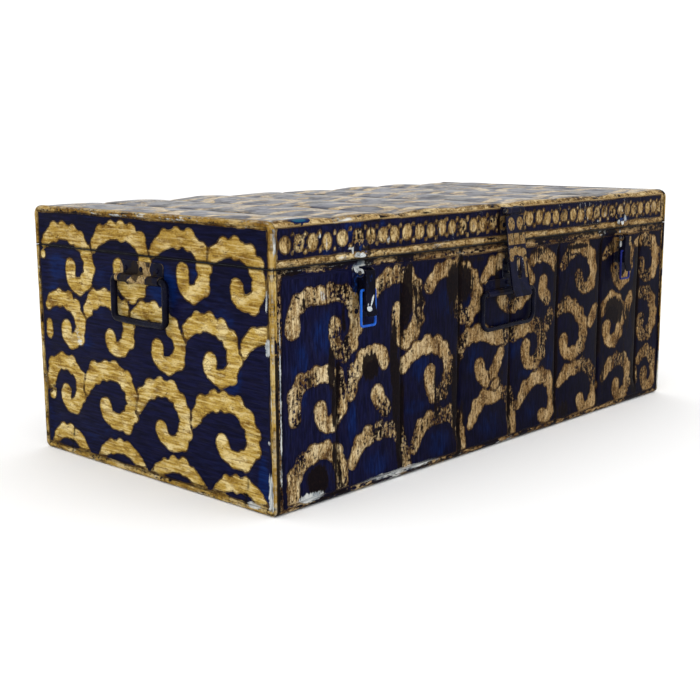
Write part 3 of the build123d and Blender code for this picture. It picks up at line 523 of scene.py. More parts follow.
def paint_lid_back(xl, z):
    """The lid's back skirt: the same band of ovals, more worn."""
    A = blank(np.shape(xl))
    rng = np.random.default_rng(9)
    wob = (vnoise(xl, z, 16, 179) - 0.5) * 1.4
    band = np.maximum(np.abs(z - 216.0) - 12.0, np.maximum(7.0 - xl, xl - 602)) + wob
    g = np.full(np.shape(xl), 20.0)
    c = 16.0
    while c < 600:
        cz = 215.6 + rng.normal(0, 0.5)
        a, b = 6.4 * rng.uniform(0.92, 1.05), 7.3 * rng.uniform(0.92, 1.05)
        g = np.minimum(g, (np.hypot((xl - c) / a, (z - cz) / b) - 1) * 6.6)
        step = 15.6 * rng.uniform(0.93, 1.07)
        for s in (-1, 1):
            g = np.minimum(g, np.hypot(xl - c - step / 2, z - cz - s * 7.0) - rng.uniform(1.5, 2.3))
        c += step
    A["gold"] = np.minimum(np.maximum(g, band + 0.8), -band)
    A["wear"] = 0.45 + 0.45 * smooth(0.4, 0.8, vnoise(xl, z, 30, 181))
    A["smear"] = 0.62 * smooth(0.55, 0.85, vnoise(xl, z * 0.6, 24, 191))
    A["cobalt"] = 0.45 * smooth(0.5, 0.85, vnoise(xl, z, 30, 193))
    A["pale"] = 0.16 + 0.36 * smooth(0.6, 0.9, vnoise(xl, z, 26, 197)) * (band > 0)
    A["grime"] = 0.25 + 0.2 * vnoise(xl, z, 60, 199)
    return A


# ------------------------------------------------------------------ materials
def C(r, g, b):
    """A colour given as 0-255 screen values."""
    return tuple(0.86 * ((c / 255 / 12.92) if c <= 10 else ((c / 255 + 0.055) / 1.055) ** 2.4) for c in (r, g, b)) + (1.0,)


class Graph:
    """Short names for the node types used below."""

    def __init__(self, name):
        self.mat = bpy.data.materials.new(name)
        self.mat.use_nodes = True
        self.t = self.mat.node_tree
        self.t.nodes.clear()
        self.out = self.t.nodes.new("ShaderNodeOutputMaterial")
        self.bsdf = self.t.nodes.new("ShaderNodeBsdfPrincipled")
        self.t.links.new(self.bsdf.outputs[0], self.out.inputs[0])

    def put(self, sock, v):
        if isinstance(v, bpy.types.NodeSocket):
            self.t.links.new(v, sock)
        elif v is not None:
            sock.default_value = v

    def attr(self, name, vec=False):
        n = self.t.nodes.new("ShaderNodeAttribute")
        n.attribute_type = "GEOMETRY"
        n.attribute_name = name
        return n.outputs["Vector" if vec else "Fac"]

    def m(self, op, a, b=None, c=None, clamp=False):
        n = self.t.nodes.new("ShaderNodeMath")
        n.operation = op
        n.use_clamp = clamp
        self.put(n.inputs[0], a)
        self.put(n.inputs[1], b)
        self.put(n.inputs[2], c)
        return n.outputs[0]

    def vmul(self, v, xyz, add=(0, 0, 0)):
        n = self.t.nodes.new("ShaderNodeVectorMath")
        n.operation = "MULTIPLY_ADD"
        self.put(n.inputs[0], v)
        n.inputs[1].default_value = xyz
        n.inputs[2].default_value = add
        return n.outputs[0]

    def noise(self, v, detail=4.0, rough=0.5, dist=0.0, scale=1.0):
        n = self.t.nodes.new("ShaderNodeTexNoise")
        n.noise_dimensions = "3D"
        self.put(n.inputs["Vector"], v)
        n.inputs["Scale"].default_value = scale
        n.inputs["Detail"].default_value = detail
        n.inputs["Roughness"].default_value = rough
        n.inputs["Distortion"].default_value = dist
        return n.outputs["Fac"]

    def ramp(self, v, a, b, lo=0.0, hi=1.0, ease="SMOOTHSTEP"):
        n = self.t.nodes.new("ShaderNodeMapRange")
        n.interpolation_type = ease
        self.put(n.inputs[0], v)
        for i, x in enumerate((a, b, lo, hi)):
            self.put(n.inputs[i + 1], x)
        return n.outputs[0]

    def mix(self, f, a, b, mode="MIX"):
        n = self.t.nodes.new("ShaderNodeMix")
        n.data_type = "RGBA"
        n.blend_type = mode
        n.clamp_factor = True
        self.put(n.inputs[0], f)
        self.put(n.inputs[6], a)
        self.put(n.inputs[7], b)
        return n.outputs[2]

    def fmix(self, f, a, b):
        n = self.t.nodes.new("ShaderNodeMix")
        n.data_type = "FLOAT"
        self.put(n.inputs[0], f)
        self.put(n.inputs[2], a)
        self.put(n.inputs[3], b)
        return n.outputs[0]

    def bump(self, height, strength, dist, normal=None):
        n = self.t.nodes.new("ShaderNodeBump")
        n.inputs["Strength"].default_value = strength
        n.inputs["Distance"].default_value = dist
        self.put(n.inputs["Height"], height)
        if normal is not None:
            self.put(n.inputs["Normal"], normal)
        return n.outputs[0]


def painted(name, light, mid, dark, chip_len, chip_wid, ragged, grain_len, grain_wid, chip_k=1.0, mottle=0.3, dirt=0.3, lines=0.5, speckle=0.4, sheen=False):
    """Navy lacquer with ochre strokes over it, brushed one way, chipped and smeared."""
    g = Graph(name)
    pat = g.attr("pat", True)
    gold, smear, wear, pale, cobalt, crease, edge, gloss, grime = (g.attr(k) for k in CHANNELS)

    def off(v, k):
        return g.m("MULTIPLY", g.m("SUBTRACT", v, 0.5), k)

    grain = g.noise(g.vmul(pat, (1 / grain_len, 1 / grain_wid, 1)), 4, 0.58, 0.45)
    fine = g.noise(g.vmul(pat, (1 / (grain_len * 1.3), 1 / (grain_wid * 0.36), 1), (5, 3, 9)), 3, 0.6, 0.2)
    blotch = g.noise(g.vmul(pat, (1 / 24, 1 / 15, 1), (1, 7, 3)), 4, 0.55)
    edge_n = g.noise(g.vmul(pat, (1 / 7, 1 / 3.2, 1), (9, 1, 2)), 4, 0.6)
    chip_n = g.noise(g.vmul(pat, (1 / chip_len, 1 / chip_wid, 1), (2, 8, 5)), 6, 0.68)
    speck = g.noise(g.vmul(pat, (1 / 3.4, 1 / 1.7, 1), (4, 4, 1)), 5, 0.7)
    cloud = g.noise(g.vmul(pat, (1 / 17, 1 / 7, 1), (6, 2, 8)), 5, 0.62)
    fleck = g.noise(g.vmul(pat, (1 / 3.0, 1 / 3.0, 1), (7, 9, 2)), 4, 0.6)
    streak = g.noise(g.vmul(pat, (1 / 30, 1 / 3.4, 1), (3, 6, 4)), 5, 0.6)
    tiny = g.noise(g.vmul(pat, (1 / 2.1, 1 / 1.5, 1), (8, 3, 5)), 3, 0.65)
    crazing = g.noise(g.vmul(pat, (1 / 15, 1 / 4.5, 1), (8, 4, 6)), 3, 0.55, 0.9)

    # navy, with brighter blue where it was laid on thin
    navy = g.mix(g.ramp(grain, 0.36, 0.66), C(8, 9, 33), C(19, 21, 56))
    navy = g.mix(g.m("MULTIPLY", g.ramp(cloud, 0.42, 0.66), 0.35), navy, C(24, 21, 40))
    # pale grey-blue streaks in the navy: fine scratches, painted in brighter to stand in for the highlights on the
    # lacquer
    navy = g.mix(g.m("MULTIPLY", g.ramp(fine, 0.56, 0.74), 0.32), navy, C(58, 60, 84))
    blue = g.mix(g.ramp(grain, 0.30, 0.70), C(5, 20, 66), C(12, 42, 100))
    f = g.ramp(g.m("ADD", cobalt, off(cloud, 1.3)), 0.24, 0.92)
    navy = g.mix(g.m("MULTIPLY", f, 0.82), navy, blue)
    navy = g.mix(g.ramp(cobalt, 1.05, 1.25), navy, C(24, 84, 112))

    # ochre, brushed: broad pale and dark patches with softer hairs along the stroke
    tone = g.m("ADD", g.m("MULTIPLY", blotch, 0.60), g.m("MULTIPLY", cloud, 0.40))
    och = g.mix(g.ramp(tone, 0.37, 0.49), dark, mid)
    och = g.mix(g.ramp(tone, 0.49, 0.61), och, light)
    och = g.mix(g.m("MULTIPLY", g.ramp(grain, 0.49, 0.40), 0.60), och, dark)
    och = g.mix(g.m("MULTIPLY", g.ramp(grain, 0.53, 0.62), 0.60), och, light)
    och = g.mix(g.m("MULTIPLY", g.ramp(fine, 0.57, 0.66), 0.45), och, dark)
    och = g.mix(g.m("MULTIPLY", g.ramp(tiny, 0.54, 0.64), speckle), och, light)
    och = g.mix(g.m("MULTIPLY", g.ramp(tiny, 0.46, 0.37), speckle), och, C(74, 48, 20))
    # dark hair lines that wander through the brush marks
    line = g.ramp(g.m("ABSOLUTE", g.m("SUBTRACT", crazing, 0.5)), 0.016, 0.004)
    line = g.m("MULTIPLY", line, g.ramp(cloud, 0.44, 0.54))
    och = g.mix(g.m("MULTIPLY", line, lines), och, C(84, 54, 22))
    # brown mottling where the varnish has gone into the brush marks
    mo = g.m("ADD", g.m("MULTIPLY", speck, 0.45), g.m("MULTIPLY", chip_n, 0.30))
    mo = g.m("ADD", mo, g.m("MULTIPLY", fleck, 0.25))
    mo = g.m("ADD", mo, off(tone, -0.30))
    mo = g.m("ADD", mo, g.m("MULTIPLY", wear, 0.05))
    och = g.mix(g.m("MULTIPLY", g.ramp(mo, 0.53, 0.60), mottle), och, C(62, 42, 24))

    ink = g.mix(g.ramp(speck, 0.46, 0.74), C(13, 8, 11), C(31, 20, 18))

    d = g.m("ADD", gold, off(edge_n, ragged))
    d = g.m("ADD", d, off(speck, ragged * 0.7))
    on = g.ramp(d, 0.22, -0.22)
    # chips through the ochre
    th = g.m("SUBTRACT", 0.76, g.m("MULTIPLY", wear, 0.27 * chip_k))
    th = g.m("ADD", th, off(cloud, -0.34))
    spot = g.m("ADD", g.m("MULTIPLY", chip_n, 0.5), g.m("MULTIPLY", fleck, 0.5))
    chip = g.ramp(g.m("SUBTRACT", spot, th), -0.012, 0.014)
    thin = g.m("MULTIPLY", g.ramp(g.m("SUBTRACT", spot, th), -0.12, 0.0), 0.5)
    och = g.mix(thin, och, C(66, 48, 32))
    # a dark line of dirt round the strokes
    rimd = g.m("MULTIPLY", g.ramp(g.m("ABSOLUTE", g.m("ADD", d, 0.45)), 1.15, 0.30), g.ramp(cloud, 0.38, 0.56, 0.45, 0.95))
    och = g.mix(rimd, och, C(58, 37, 16))
    # this darkens the ochre and the navy: dirt, and painted shade where the front and the lid skirt fall off to the
    # right
    och = g.mix(grime, och, g.mix(1.0, och, (0.60, 0.51, 0.42, 1), "MULTIPLY"))
    navy = g.mix(grime, navy, g.mix(1.0, navy, (0.44, 0.35, 0.36, 1), "MULTIPLY"))
    on_kept = g.m("MULTIPLY", on, g.m("SUBTRACT", 1.0, chip), clamp=True)
    below = g.mix(g.ramp(cloud, 0.42, 0.58), navy, ink)
    base = g.mix(on, navy, below)
    base = g.mix(g.m("MULTIPLY", g.ramp(g.m("ABSOLUTE", g.m("SUBTRACT", d, 0.9)), 0.8, 0.0), 0.5), base, C(10, 8, 18))
    col = g.mix(on_kept, base, och)

    # smears of dark varnish, torn along the brush direction
    sm = g.m("ADD", smear, off(streak, 1.5))
    sm = g.m("ADD", sm, off(chip_n, 0.7))
    sm = g.m("ADD", sm, off(speck, 0.5))
    smf = g.ramp(sm, 0.54, 0.64)
    soft = g.m("MULTIPLY", g.ramp(sm, 0.36, 0.60), dirt)
    col = g.mix(soft, col, C(25, 17, 13))
    col = g.mix(g.m("MULTIPLY", smf, 0.97), col, ink)

    # bare, whitened tin, and painted highlights and glare along rims, beside the seams and next to the latches
    pl = g.m("ADD", pale, off(cloud, 1.2))
    pl = g.m("ADD", pl, off(speck, 0.9))
    plf = g.ramp(pl, 0.52, 0.78)
    white = g.mix(g.ramp(cloud, 0.38, 0.60), C(118, 132, 144), C(216, 218, 214))
    col = g.mix(g.m("MULTIPLY", plf, 0.88), col, white)

    # dirt in creases, with painted shadow along the seams and painted shade along the end's pressed creases
    cr = g.m("MULTIPLY", crease, g.ramp(g.m("ADD", speck, cloud), 0.78, 1.05, 0.75, 1.05))
    col = g.mix(g.m("MULTIPLY", cr, 0.97, clamp=True), col, C(12, 9, 11))
    ed = g.m("MULTIPLY", edge, g.ramp(g.m("ADD", speck, g.m("MULTIPLY", cloud, 0.6)), 0.70, 0.88))
    col = g.mix(ed, col, C(196, 184, 158))

    g.put(g.bsdf.inputs["Base Color"], col)
    ro = g.fmix(on_kept, 0.36, 0.48)
    ro = g.fmix(smf, ro, 0.36)
    ro = g.fmix(plf, ro, 0.42)
    ro = g.fmix(gloss, ro, 0.34)
    ro = g.m("ADD", ro, off(blotch, 0.36))
    ro = g.m("ADD", ro, off(fine, 0.16), clamp=True)
    g.put(g.bsdf.inputs["Roughness"], ro)
    h = g.m("ADD", g.m("MULTIPLY", on_kept, 0.55), g.m("MULTIPLY", grain, 0.55))
    h = g.m("ADD", h, g.m("MULTIPLY", fine, 0.22))
    h = g.m("ADD", h, g.m("MULTIPLY", smf, 0.25))
    h = g.m("SUBTRACT", h, g.m("MULTIPLY", plf, 0.35))
    b = g.bump(h, 0.42, 0.00028)
    b = g.bump(blotch, 0.20, 0.0012, b)
    g.put(g.bsdf.inputs["Normal"], b)
    g.bsdf.inputs["Specular IOR Level"].default_value = 0.018
    g.bsdf.inputs["Coat Weight"].default_value = 0.0
    if sheen:      # varnish left on the flat top, patchy
        patchy = g.noise(g.vmul(pat, (1 / 21, 1 / 26, 1), (4, 7, 2)), 4, 0.6)
        g.put(g.bsdf.inputs["Coat Weight"], g.m("MULTIPLY", gloss, g.ramp(g.m("ADD", g.m("MULTIPLY", patchy, 0.6), g.m("MULTIPLY", cloud, 0.4)), 0.42, 0.54, 0.22, 0.72)))
        g.bsdf.inputs["Coat Roughness"].default_value = 0.30
        g.bsdf.inputs["Coat IOR"].default_value = 1.45
    return g.mat


def enamel(name, base_a, base_b, worn, spec=0.5, rough=0.28, wear_k=1.0, coat=0.0, metal_edges=True):
    """Thick dark enamel on steel: runs and orange peel in the gloss, rubbed through on the edges."""
    g = Graph(name)
    pat = g.attr("pat", True)
    gold, smear, wear, pale, cobalt, crease, edge, gloss, grime = (g.attr(k) for k in CHANNELS)
    tex = g.t.nodes.new("ShaderNodeTexCoord").outputs["Object"]
    big = g.noise(g.vmul(tex, (90, 90, 60)), 4, 0.55)
    mid = g.noise(g.vmul(tex, (420, 420, 260), (3, 1, 2)), 5, 0.6)
    fine = g.noise(g.vmul(tex, (1500, 1500, 900), (7, 5, 1)), 4, 0.65)
    col = g.mix(g.ramp(big, 0.35, 0.66), base_a, base_b)
    col = g.mix(g.m("MULTIPLY", g.ramp(mid, 0.55, 0.75), 0.35), col, C(46, 38, 40))
    blue = g.ramp(g.m("ADD", cobalt, g.m("MULTIPLY", g.m("SUBTRACT", mid, 0.5), 1.2)), 0.40, 0.75)
    col = g.mix(blue, col, g.mix(g.ramp(fine, 0.35, 0.65), C(8, 38, 104), C(20, 74, 150)))
    # painted ornament that runs across the hardware
    d = g.m("ADD", gold, g.m("MULTIPLY", g.m("SUBTRACT", mid, 0.5), 1.6))
    on = g.ramp(d, 0.25, -0.25)
    chip = g.ramp(g.m("ADD", mid, g.m("MULTIPLY", wear, 0.22)), 0.62, 0.70)
    on = g.m("MULTIPLY", on, g.m("SUBTRACT", 1.0, chip), clamp=True)
    och = g.mix(g.ramp(mid, 0.38, 0.60), C(112, 86, 50), C(190, 164, 114))
    och = g.mix(g.m("MULTIPLY", g.ramp(fine, 0.52, 0.62), 0.5), och, C(66, 46, 26))
    # this darkens the ochre on the hardware: dirt, and the painted shade carried over from the panel behind
    och = g.mix(grime, och, g.mix(1.0, och, (0.60, 0.51, 0.42, 1), "MULTIPLY"))
    col = g.mix(on, col, och)
    sm = g.ramp(g.m("ADD", smear, g.m("MULTIPLY", g.m("SUBTRACT", mid, 0.5), 0.8)), 0.46, 0.62)
    col = g.mix(g.m("MULTIPLY", sm, 0.9), col, C(30, 22, 18))
    # pale patches: painted glare and glints on the hasp and latches
    pl = g.ramp(g.m("ADD", pale, g.m("MULTIPLY", g.m("SUBTRACT", mid, 0.5), 0.8)), 0.46, 0.64)
    col = g.mix(pl, col, g.mix(g.ramp(fine, 0.4, 0.6), C(150, 160, 166), C(228, 230, 226)))
    # rubbed edges
    e = g.m("ADD", edge, g.m("MULTIPLY", g.m("SUBTRACT", mid, 0.5), 1.4))
    e = g.ramp(e, 0.85, 1.15)
    e = g.m("MULTIPLY", e, 0.75 * wear_k)
    nick = g.m("MULTIPLY", g.ramp(g.m("ADD", fine, g.m("MULTIPLY", big, 0.5)), 0.95, 1.0), 0.5 * wear_k)
    bare = g.m("MAXIMUM", e, nick)
    col = g.mix(bare, col, worn)
    col = g.mix(g.m("MULTIPLY", crease, 0.9), col, C(14, 11, 11))
    g.put(g.bsdf.inputs["Base Color"], col)
    if metal_edges:
        g.put(g.bsdf.inputs["Metallic"], g.m("MULTIPLY", bare, 0.6))
    ro = g.m("ADD", rough - 0.10, g.m("MULTIPLY", mid, 0.24))
    ro = g.m("ADD", ro, g.m("MULTIPLY", bare, 0.14), clamp=True)
    ro = g.fmix(on, ro, 0.46)
    g.put(g.bsdf.inputs["Roughness"], ro)
    b = g.bump(big, 0.35, 0.0010)
    b = g.bump(g.m("SUBTRACT", mid, g.m("MULTIPLY", bare, 0.6)), 0.30, 0.00022, b)
    g.put(g.bsdf.inputs["Normal"], b)
    g.bsdf.inputs["Specular IOR Level"].default_value = spec
    g.bsdf.inputs["Coat Weight"].default_value = coat
    g.bsdf.inputs["Coat Roughness"].default_value = 0.12
    return g.mat


def plain_inside():
    """The inside: dull blue-black wash over tin plate, scuffed, with tin showing through and rust freckles."""
    g = Graph("plain_tin_wash")
    tex = g.t.nodes.new("ShaderNodeTexCoord").outputs["Object"]
    big = g.noise(g.vmul(tex, (7, 7, 9)), 5, 0.6, 0.3)
    wipe = g.noise(g.vmul(tex, (9, 60, 60), (2, 3, 1)), 5, 0.6, 0.2)
    fine = g.noise(g.vmul(tex, (520, 520, 520), (3, 1, 2)), 4, 0.6)
    spot = g.noise(g.vmul(tex, (140, 140, 140), (9, 5, 2)), 5, 0.7)
    col = g.mix(g.ramp(big, 0.35, 0.65), C(30, 34, 46), C(52, 56, 66))
    col = g.mix(g.m("MULTIPLY", g.ramp(wipe, 0.50, 0.72), 0.55), col, C(86, 88, 92))
    tin = g.ramp(g.m("ADD", spot, g.m("MULTIPLY", big, 0.4)), 0.84, 0.90)
    col = g.mix(tin, col, C(128, 126, 120))
    rust = g.ramp(g.m("ADD", spot, g.m("MULTIPLY", wipe, 0.6)), 0.64, 0.55)
    col = g.mix(g.m("MULTIPLY", rust, 0.5), col, C(74, 46, 32))
    g.put(g.bsdf.inputs["Base Color"], col)
    g.put(g.bsdf.inputs["Metallic"], g.m("MULTIPLY", tin, 0.5))
    g.put(g.bsdf.inputs["Roughness"], g.m("ADD", 0.42, g.m("MULTIPLY", fine, 0.22)))
    b = g.bump(wipe, 0.18, 0.0006)
    b = g.bump(g.m("SUBTRACT", fine, tin), 0.15, 0.0002, b)
    g.put(g.bsdf.inputs["Normal"], b)
    g.bsdf.inputs["Specular IOR Level"].default_value = 0.35
    return g.mat


def worn_steel():
    """Dull steel with the remains of dark paint."""
    g = Graph("worn_steel_pins")
    tex = g.t.nodes.new("ShaderNodeTexCoord").outputs["Object"]
    n1 = g.noise(g.vmul(tex, (300, 300, 300)), 5, 0.65)
    n2 = g.noise(g.vmul(tex, (1400, 1400, 1400), (3, 2, 1)), 3, 0.6)
    paint = g.ramp(n1, 0.44, 0.54)
    col = g.mix(g.ramp(n2, 0.35, 0.65), C(112, 108, 102), C(150, 146, 138))
    col = g.mix(paint, col, C(24, 24, 36))
    g.put(g.bsdf.inputs["Base Color"], col)
    g.put(g.bsdf.inputs["Metallic"], g.m("SUBTRACT", 0.8, g.m("MULTIPLY", paint, 0.8)))
    g.put(g.bsdf.inputs["Roughness"], g.m("ADD", 0.28, g.m("MULTIPLY", n2, 0.25)))
    g.put(g.bsdf.inputs["Normal"], g.bump(g.m("ADD", n2, paint), 0.25, 0.0002))
    return g.mat


M_END = painted("painted_tin_end", C(232, 211, 150), C(190, 158, 74), C(124, 90, 30), 10, 3.4, 1.5, 24, 2.3, chip_k=0.9, mottle=0.32, dirt=0.20, lines=0.80, speckle=0.22)
M_FRONT = painted("painted_tin_front", C(232, 212, 168), C(180, 153, 106), C(112, 82, 44), 9, 2.8, 2.8, 14, 2.2, mottle=0.85, dirt=0.40, lines=0.45, speckle=0.55)
M_LID = painted("painted_tin_lid", C(228, 206, 156), C(178, 149, 96), C(108, 80, 38), 7, 3.0, 2.0, 8, 2.8, mottle=0.85, dirt=0.38, lines=0.4, speckle=0.60, sheen=True)
M_INSIDE = plain_inside()
M_DARK = enamel("navy_enamel", C(7, 7, 18), C(13, 15, 34), C(120, 130, 150), spec=0.045, rough=0.24, wear_k=0.7, coat=0.0)
M_PLATE = enamel("navy_plate", C(8, 9, 26), C(16, 18, 42), C(140, 122, 92), spec=0.035, rough=0.40, wear_k=0.6, coat=0.0)
M_LEVER = enamel("black_enamel_matt", C(10, 10, 20), C(17, 17, 32), C(96, 92, 92), spec=0.02, rough=0.45, wear_k=0.5, coat=0.0)
M_BLUE = enamel("blue_wire_paint", C(8, 66, 170), C(22, 100, 206), C(150, 176, 206), spec=0.15, rough=0.32, wear_k=0.45, metal_edges=False)
M_BLUE2 = enamel("dark_blue_wire_paint", C(12, 20, 86), C(24, 36, 116), C(150, 156, 176), spec=0.10, rough=0.34, wear_k=0.5, metal_edges=False)
M_STEEL = worn_steel()

# ------------------------------------------------------------------ meshes

def set_channels(me, A, pat):
    """Stores the paint channels and the brush direction (along, across, seed) on the mesh's points."""
    for k in CHANNELS:
        at = me.attributes.new(k, "FLOAT", "POINT")
        at.data.foreach_set("value", np.ascontiguousarray(A[k], np.float32).ravel())
    at = me.attributes.new("pat", "FLOAT_VECTOR", "POINT")
    at.data.foreach_set("vector", np.ascontiguousarray(pat, np.float32).ravel())


def new_mesh(name, verts_mm, faces, mats, material_index=None, smooth_shade=True):
    me = bpy.data.meshes.new(name)
    me.from_pydata((np.asarray(verts_mm) / 1000.0).tolist(), [], faces if isinstance(faces, list) else faces.tolist())
    for m in mats:
        me.materials.append(m)
    if material_index is not None:
        me.polygons.foreach_set("material_index", np.asarray(material_index, np.int32))
    me.polygons.foreach_set("use_smooth", np.full(len(me.polygons), smooth_shade))
    me.update()
    o = bpy.data.objects.new(name, me)
    bpy.context.scene.collection.objects.link(o)
    return o


def grid_normals(P):
    du = np.gradient(P, axis=0)
    dv = np.gradient(P, axis=1)
    n = np.cross(du, dv)
    return n / np.maximum(np.linalg.norm(n, axis=-1, keepdims=True), 1e-9)


def sheet_shell(name, P, A, pat, mats, body, nodes, outward=None, thick=T):
    """A closed tin sheet from a grid of outer points; the inner face is offset by the sheet's thickness."""
    nu, nv = P.shape[:2]
    N = grid_normals(P)
    if outward is not None and np.sum(N.mean((0, 1)) * outward) < 0 or (outward is None and False):
        P, N, pat = P[::-1], -N[::-1], pat[::-1]
        A = {k: v[::-1] for k, v in A.items()}
    Q = P - N * thick
    V = np.concatenate([P.reshape(-1, 3), Q.reshape(-1, 3)])
    idx = np.arange(nu * nv).reshape(nu, nv)
    a, b, c, d = idx[:-1, :-1], idx[1:, :-1], idx[1:, 1:], idx[:-1, 1:]
    outer = np.stack([a, b, c, d], -1).reshape(-1, 4)
    inner = np.stack([d, c, b, a], -1).reshape(-1, 4) + nu * nv
    k = nu * nv
    rim = []
    for line, flip in ((idx[:, 0], False), (idx[-1, :], False), (idx[::-1, -1], False), (idx[0, ::-1], False)):
        p, q = line[:-1], line[1:]
        rim.append(np.stack([q, p, p + k, q + k], -1))
    rim = np.concatenate(rim)
    F = np.concatenate([outer, inner, rim])
    mi = np.concatenate([np.zeros(len(outer)), np.ones(len(inner)), np.zeros(len(rim))])
    o = new_mesh(name, V, F, mats, mi)
    inn = {kk: np.zeros(nu * nv) for kk in CHANNELS}
    inn["gold"] = np.full(nu * nv, 20.0)
    inn["crease"] = A["crease"].ravel() * 0
    set_channels(o.data, {kk: np.concatenate([A[kk].ravel(), inn[kk]]) for kk in CHANNELS},
                 np.concatenate([pat.reshape(-1, 3), pat.reshape(-1, 3)]))
    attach(o, body)
    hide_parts(*nodes)
    return o


def x_lines(step=2.2):
    """Grid lines along the trunk, closer together in the swages."""
    base = np.linspace(-XI, XI, int(2 * XI / step))
    near = np.abs(base[:, None] - GROOVES).min(1)
    extra = (GROOVES[:, None] + np.array([-3.3, -2.3, -1.5, -0.8, 0, 0.8, 1.5, 2.3, 3.3])).ravel()
    return np.sort(np.concatenate([base[near > 4.0], extra]))


def groove_depth(x, pillow, v, v_w=1.7):
    """Depth below the face: a soft bow between the swages and a pressed V at each."""
    e = np.concatenate([[-312.0], GROOVES, [332.0]])
    k = np.clip(np.searchsorted(e, x) - 1, 0, len(e) - 2)
    t = (x - e[k]) / (e[k + 1] - e[k])
    bow = 1 - (4 * t * (1 - t)) ** 0.8
    g = np.abs(np.asarray(x)[..., None] - GROOVES).min(-1)
    return pillow * bow + v * np.exp(-(g / v_w) ** 2)


# ---- walls: down the face, round the bottom bend and a short way under
def wall(name, sgn, paint, body, node):
    us = x_lines()
    zs = np.concatenate([np.linspace(SEAM - 0.35, 6.0, 88)])
    prof = [(0.0, z) for z in zs]
    r = 4.8
    for a in np.linspace(6, 90, 9):
        t = math.radians(a)
        prof.append((r - r * math.cos(t), r - r * math.sin(t)))
    prof += [(d, 0.0) for d in (6.4, 8.4, 10.8)]
    prof = np.array(prof)
    s = np.concatenate([[0], np.cumsum(np.linalg.norm(np.diff(prof, axis=0), axis=1))])
    X, K = np.meshgrid(us, np.arange(len(prof)), indexing="ij")
    d, Z = prof[K, 0], prof[K, 1]
    fade = smooth(13, 26, Z) * (0.15 + 0.85 * smooth(189, 180, Z)) * smooth(SEAM, SEAM - 3, Z)
    flat = np.ones_like(X)
    if sgn < 0:      # the sheet stays flat under the hardware
        for cx, hw, z0, z1 in ((0, 46, 144, 200), (LATCH_X, 13, 145, 200), (-LATCH_X, 13, 145, 200)):
            flat *= 1 - smooth(hw + 12, hw, np.abs(X - cx)) * smooth(z0 - 12, z0, Z) * smooth(z1 + 10, z1, Z)
    else:
        for cx in (-190, 190):
            flat *= 1 - smooth(36, 23, np.abs(X - cx)) * smooth(148, 160, Z)
    depth = groove_depth(X, 1.3, 1.5) * fade * flat
    dent = (vnoise(X, Z * 1.0, 55, 3 + sgn) ** 2) * 1.1 + 0.25 * (vnoise(X, Z, 17, 9 + sgn))
    depth += dent * fade * flat * 0.9
    Y = sgn * (162.5 - d - np.where(Z > 4.8, depth, 0.0))
    P = np.stack([X, Y, np.where(Z > 4.8, Z, Z)], -1)
    zz = np.where(K < len(zs), Z, Z - (s[K] - s[len(zs) - 1]) * 0.25)
    if sgn < 0:
        A = paint(X + 305, zz)
    else:
        A = paint(305 - X, zz)
    under = (prof[K, 0] > 2.6)
    A["gold"] = np.where(under, np.maximum(A["gold"], 3.0), A["gold"])
    A["smear"] = np.where(under, 0.9, A["smear"])
    A["pale"] = np.where(under, 0, A["pale"])
    # bare, dark lip at the seam, widened with painted shadow of the seam gap
    A["crease"] = np.maximum(A["crease"], smooth(SEAM - 3.2, SEAM - 2.0, Z))
    flatwise = (Z > SEAM - 7.5) | (zz < 7.5)
    pat = np.stack([np.where(flatwise, X + 400, zz), np.where(flatwise, zz, X + 400),
                    np.full_like(X, 3.0 if sgn < 0 else 11.0) + 0.5 * flatwise], -1)
    return sheet_shell(name, P, A, pat, [M_FRONT, M_INSIDE], body, [node], outward=np.array([0, sgn, 0]))


# ---- ends: a plate with a rolled rim that laps a little over the neighbouring sheets
# rim section: (distance in from the outline, height over the plate's face)
RIM = [(-0.35, -4.3), (-0.62, -3.9), (-0.66, -3.0), (-0.62, -2.0), (-0.50, -1.0), (-0.28, -0.2), (0.12, 0.45), (0.7, 0.82), (1.5, 0.95),
       (2.4, 0.92), (3.1, 0.72), (3.55, 0.35), (3.9, 0.02), (4.6, 0.0), (5.4, 0.0), (6.4, 0.0), (8.0, 0.0)]


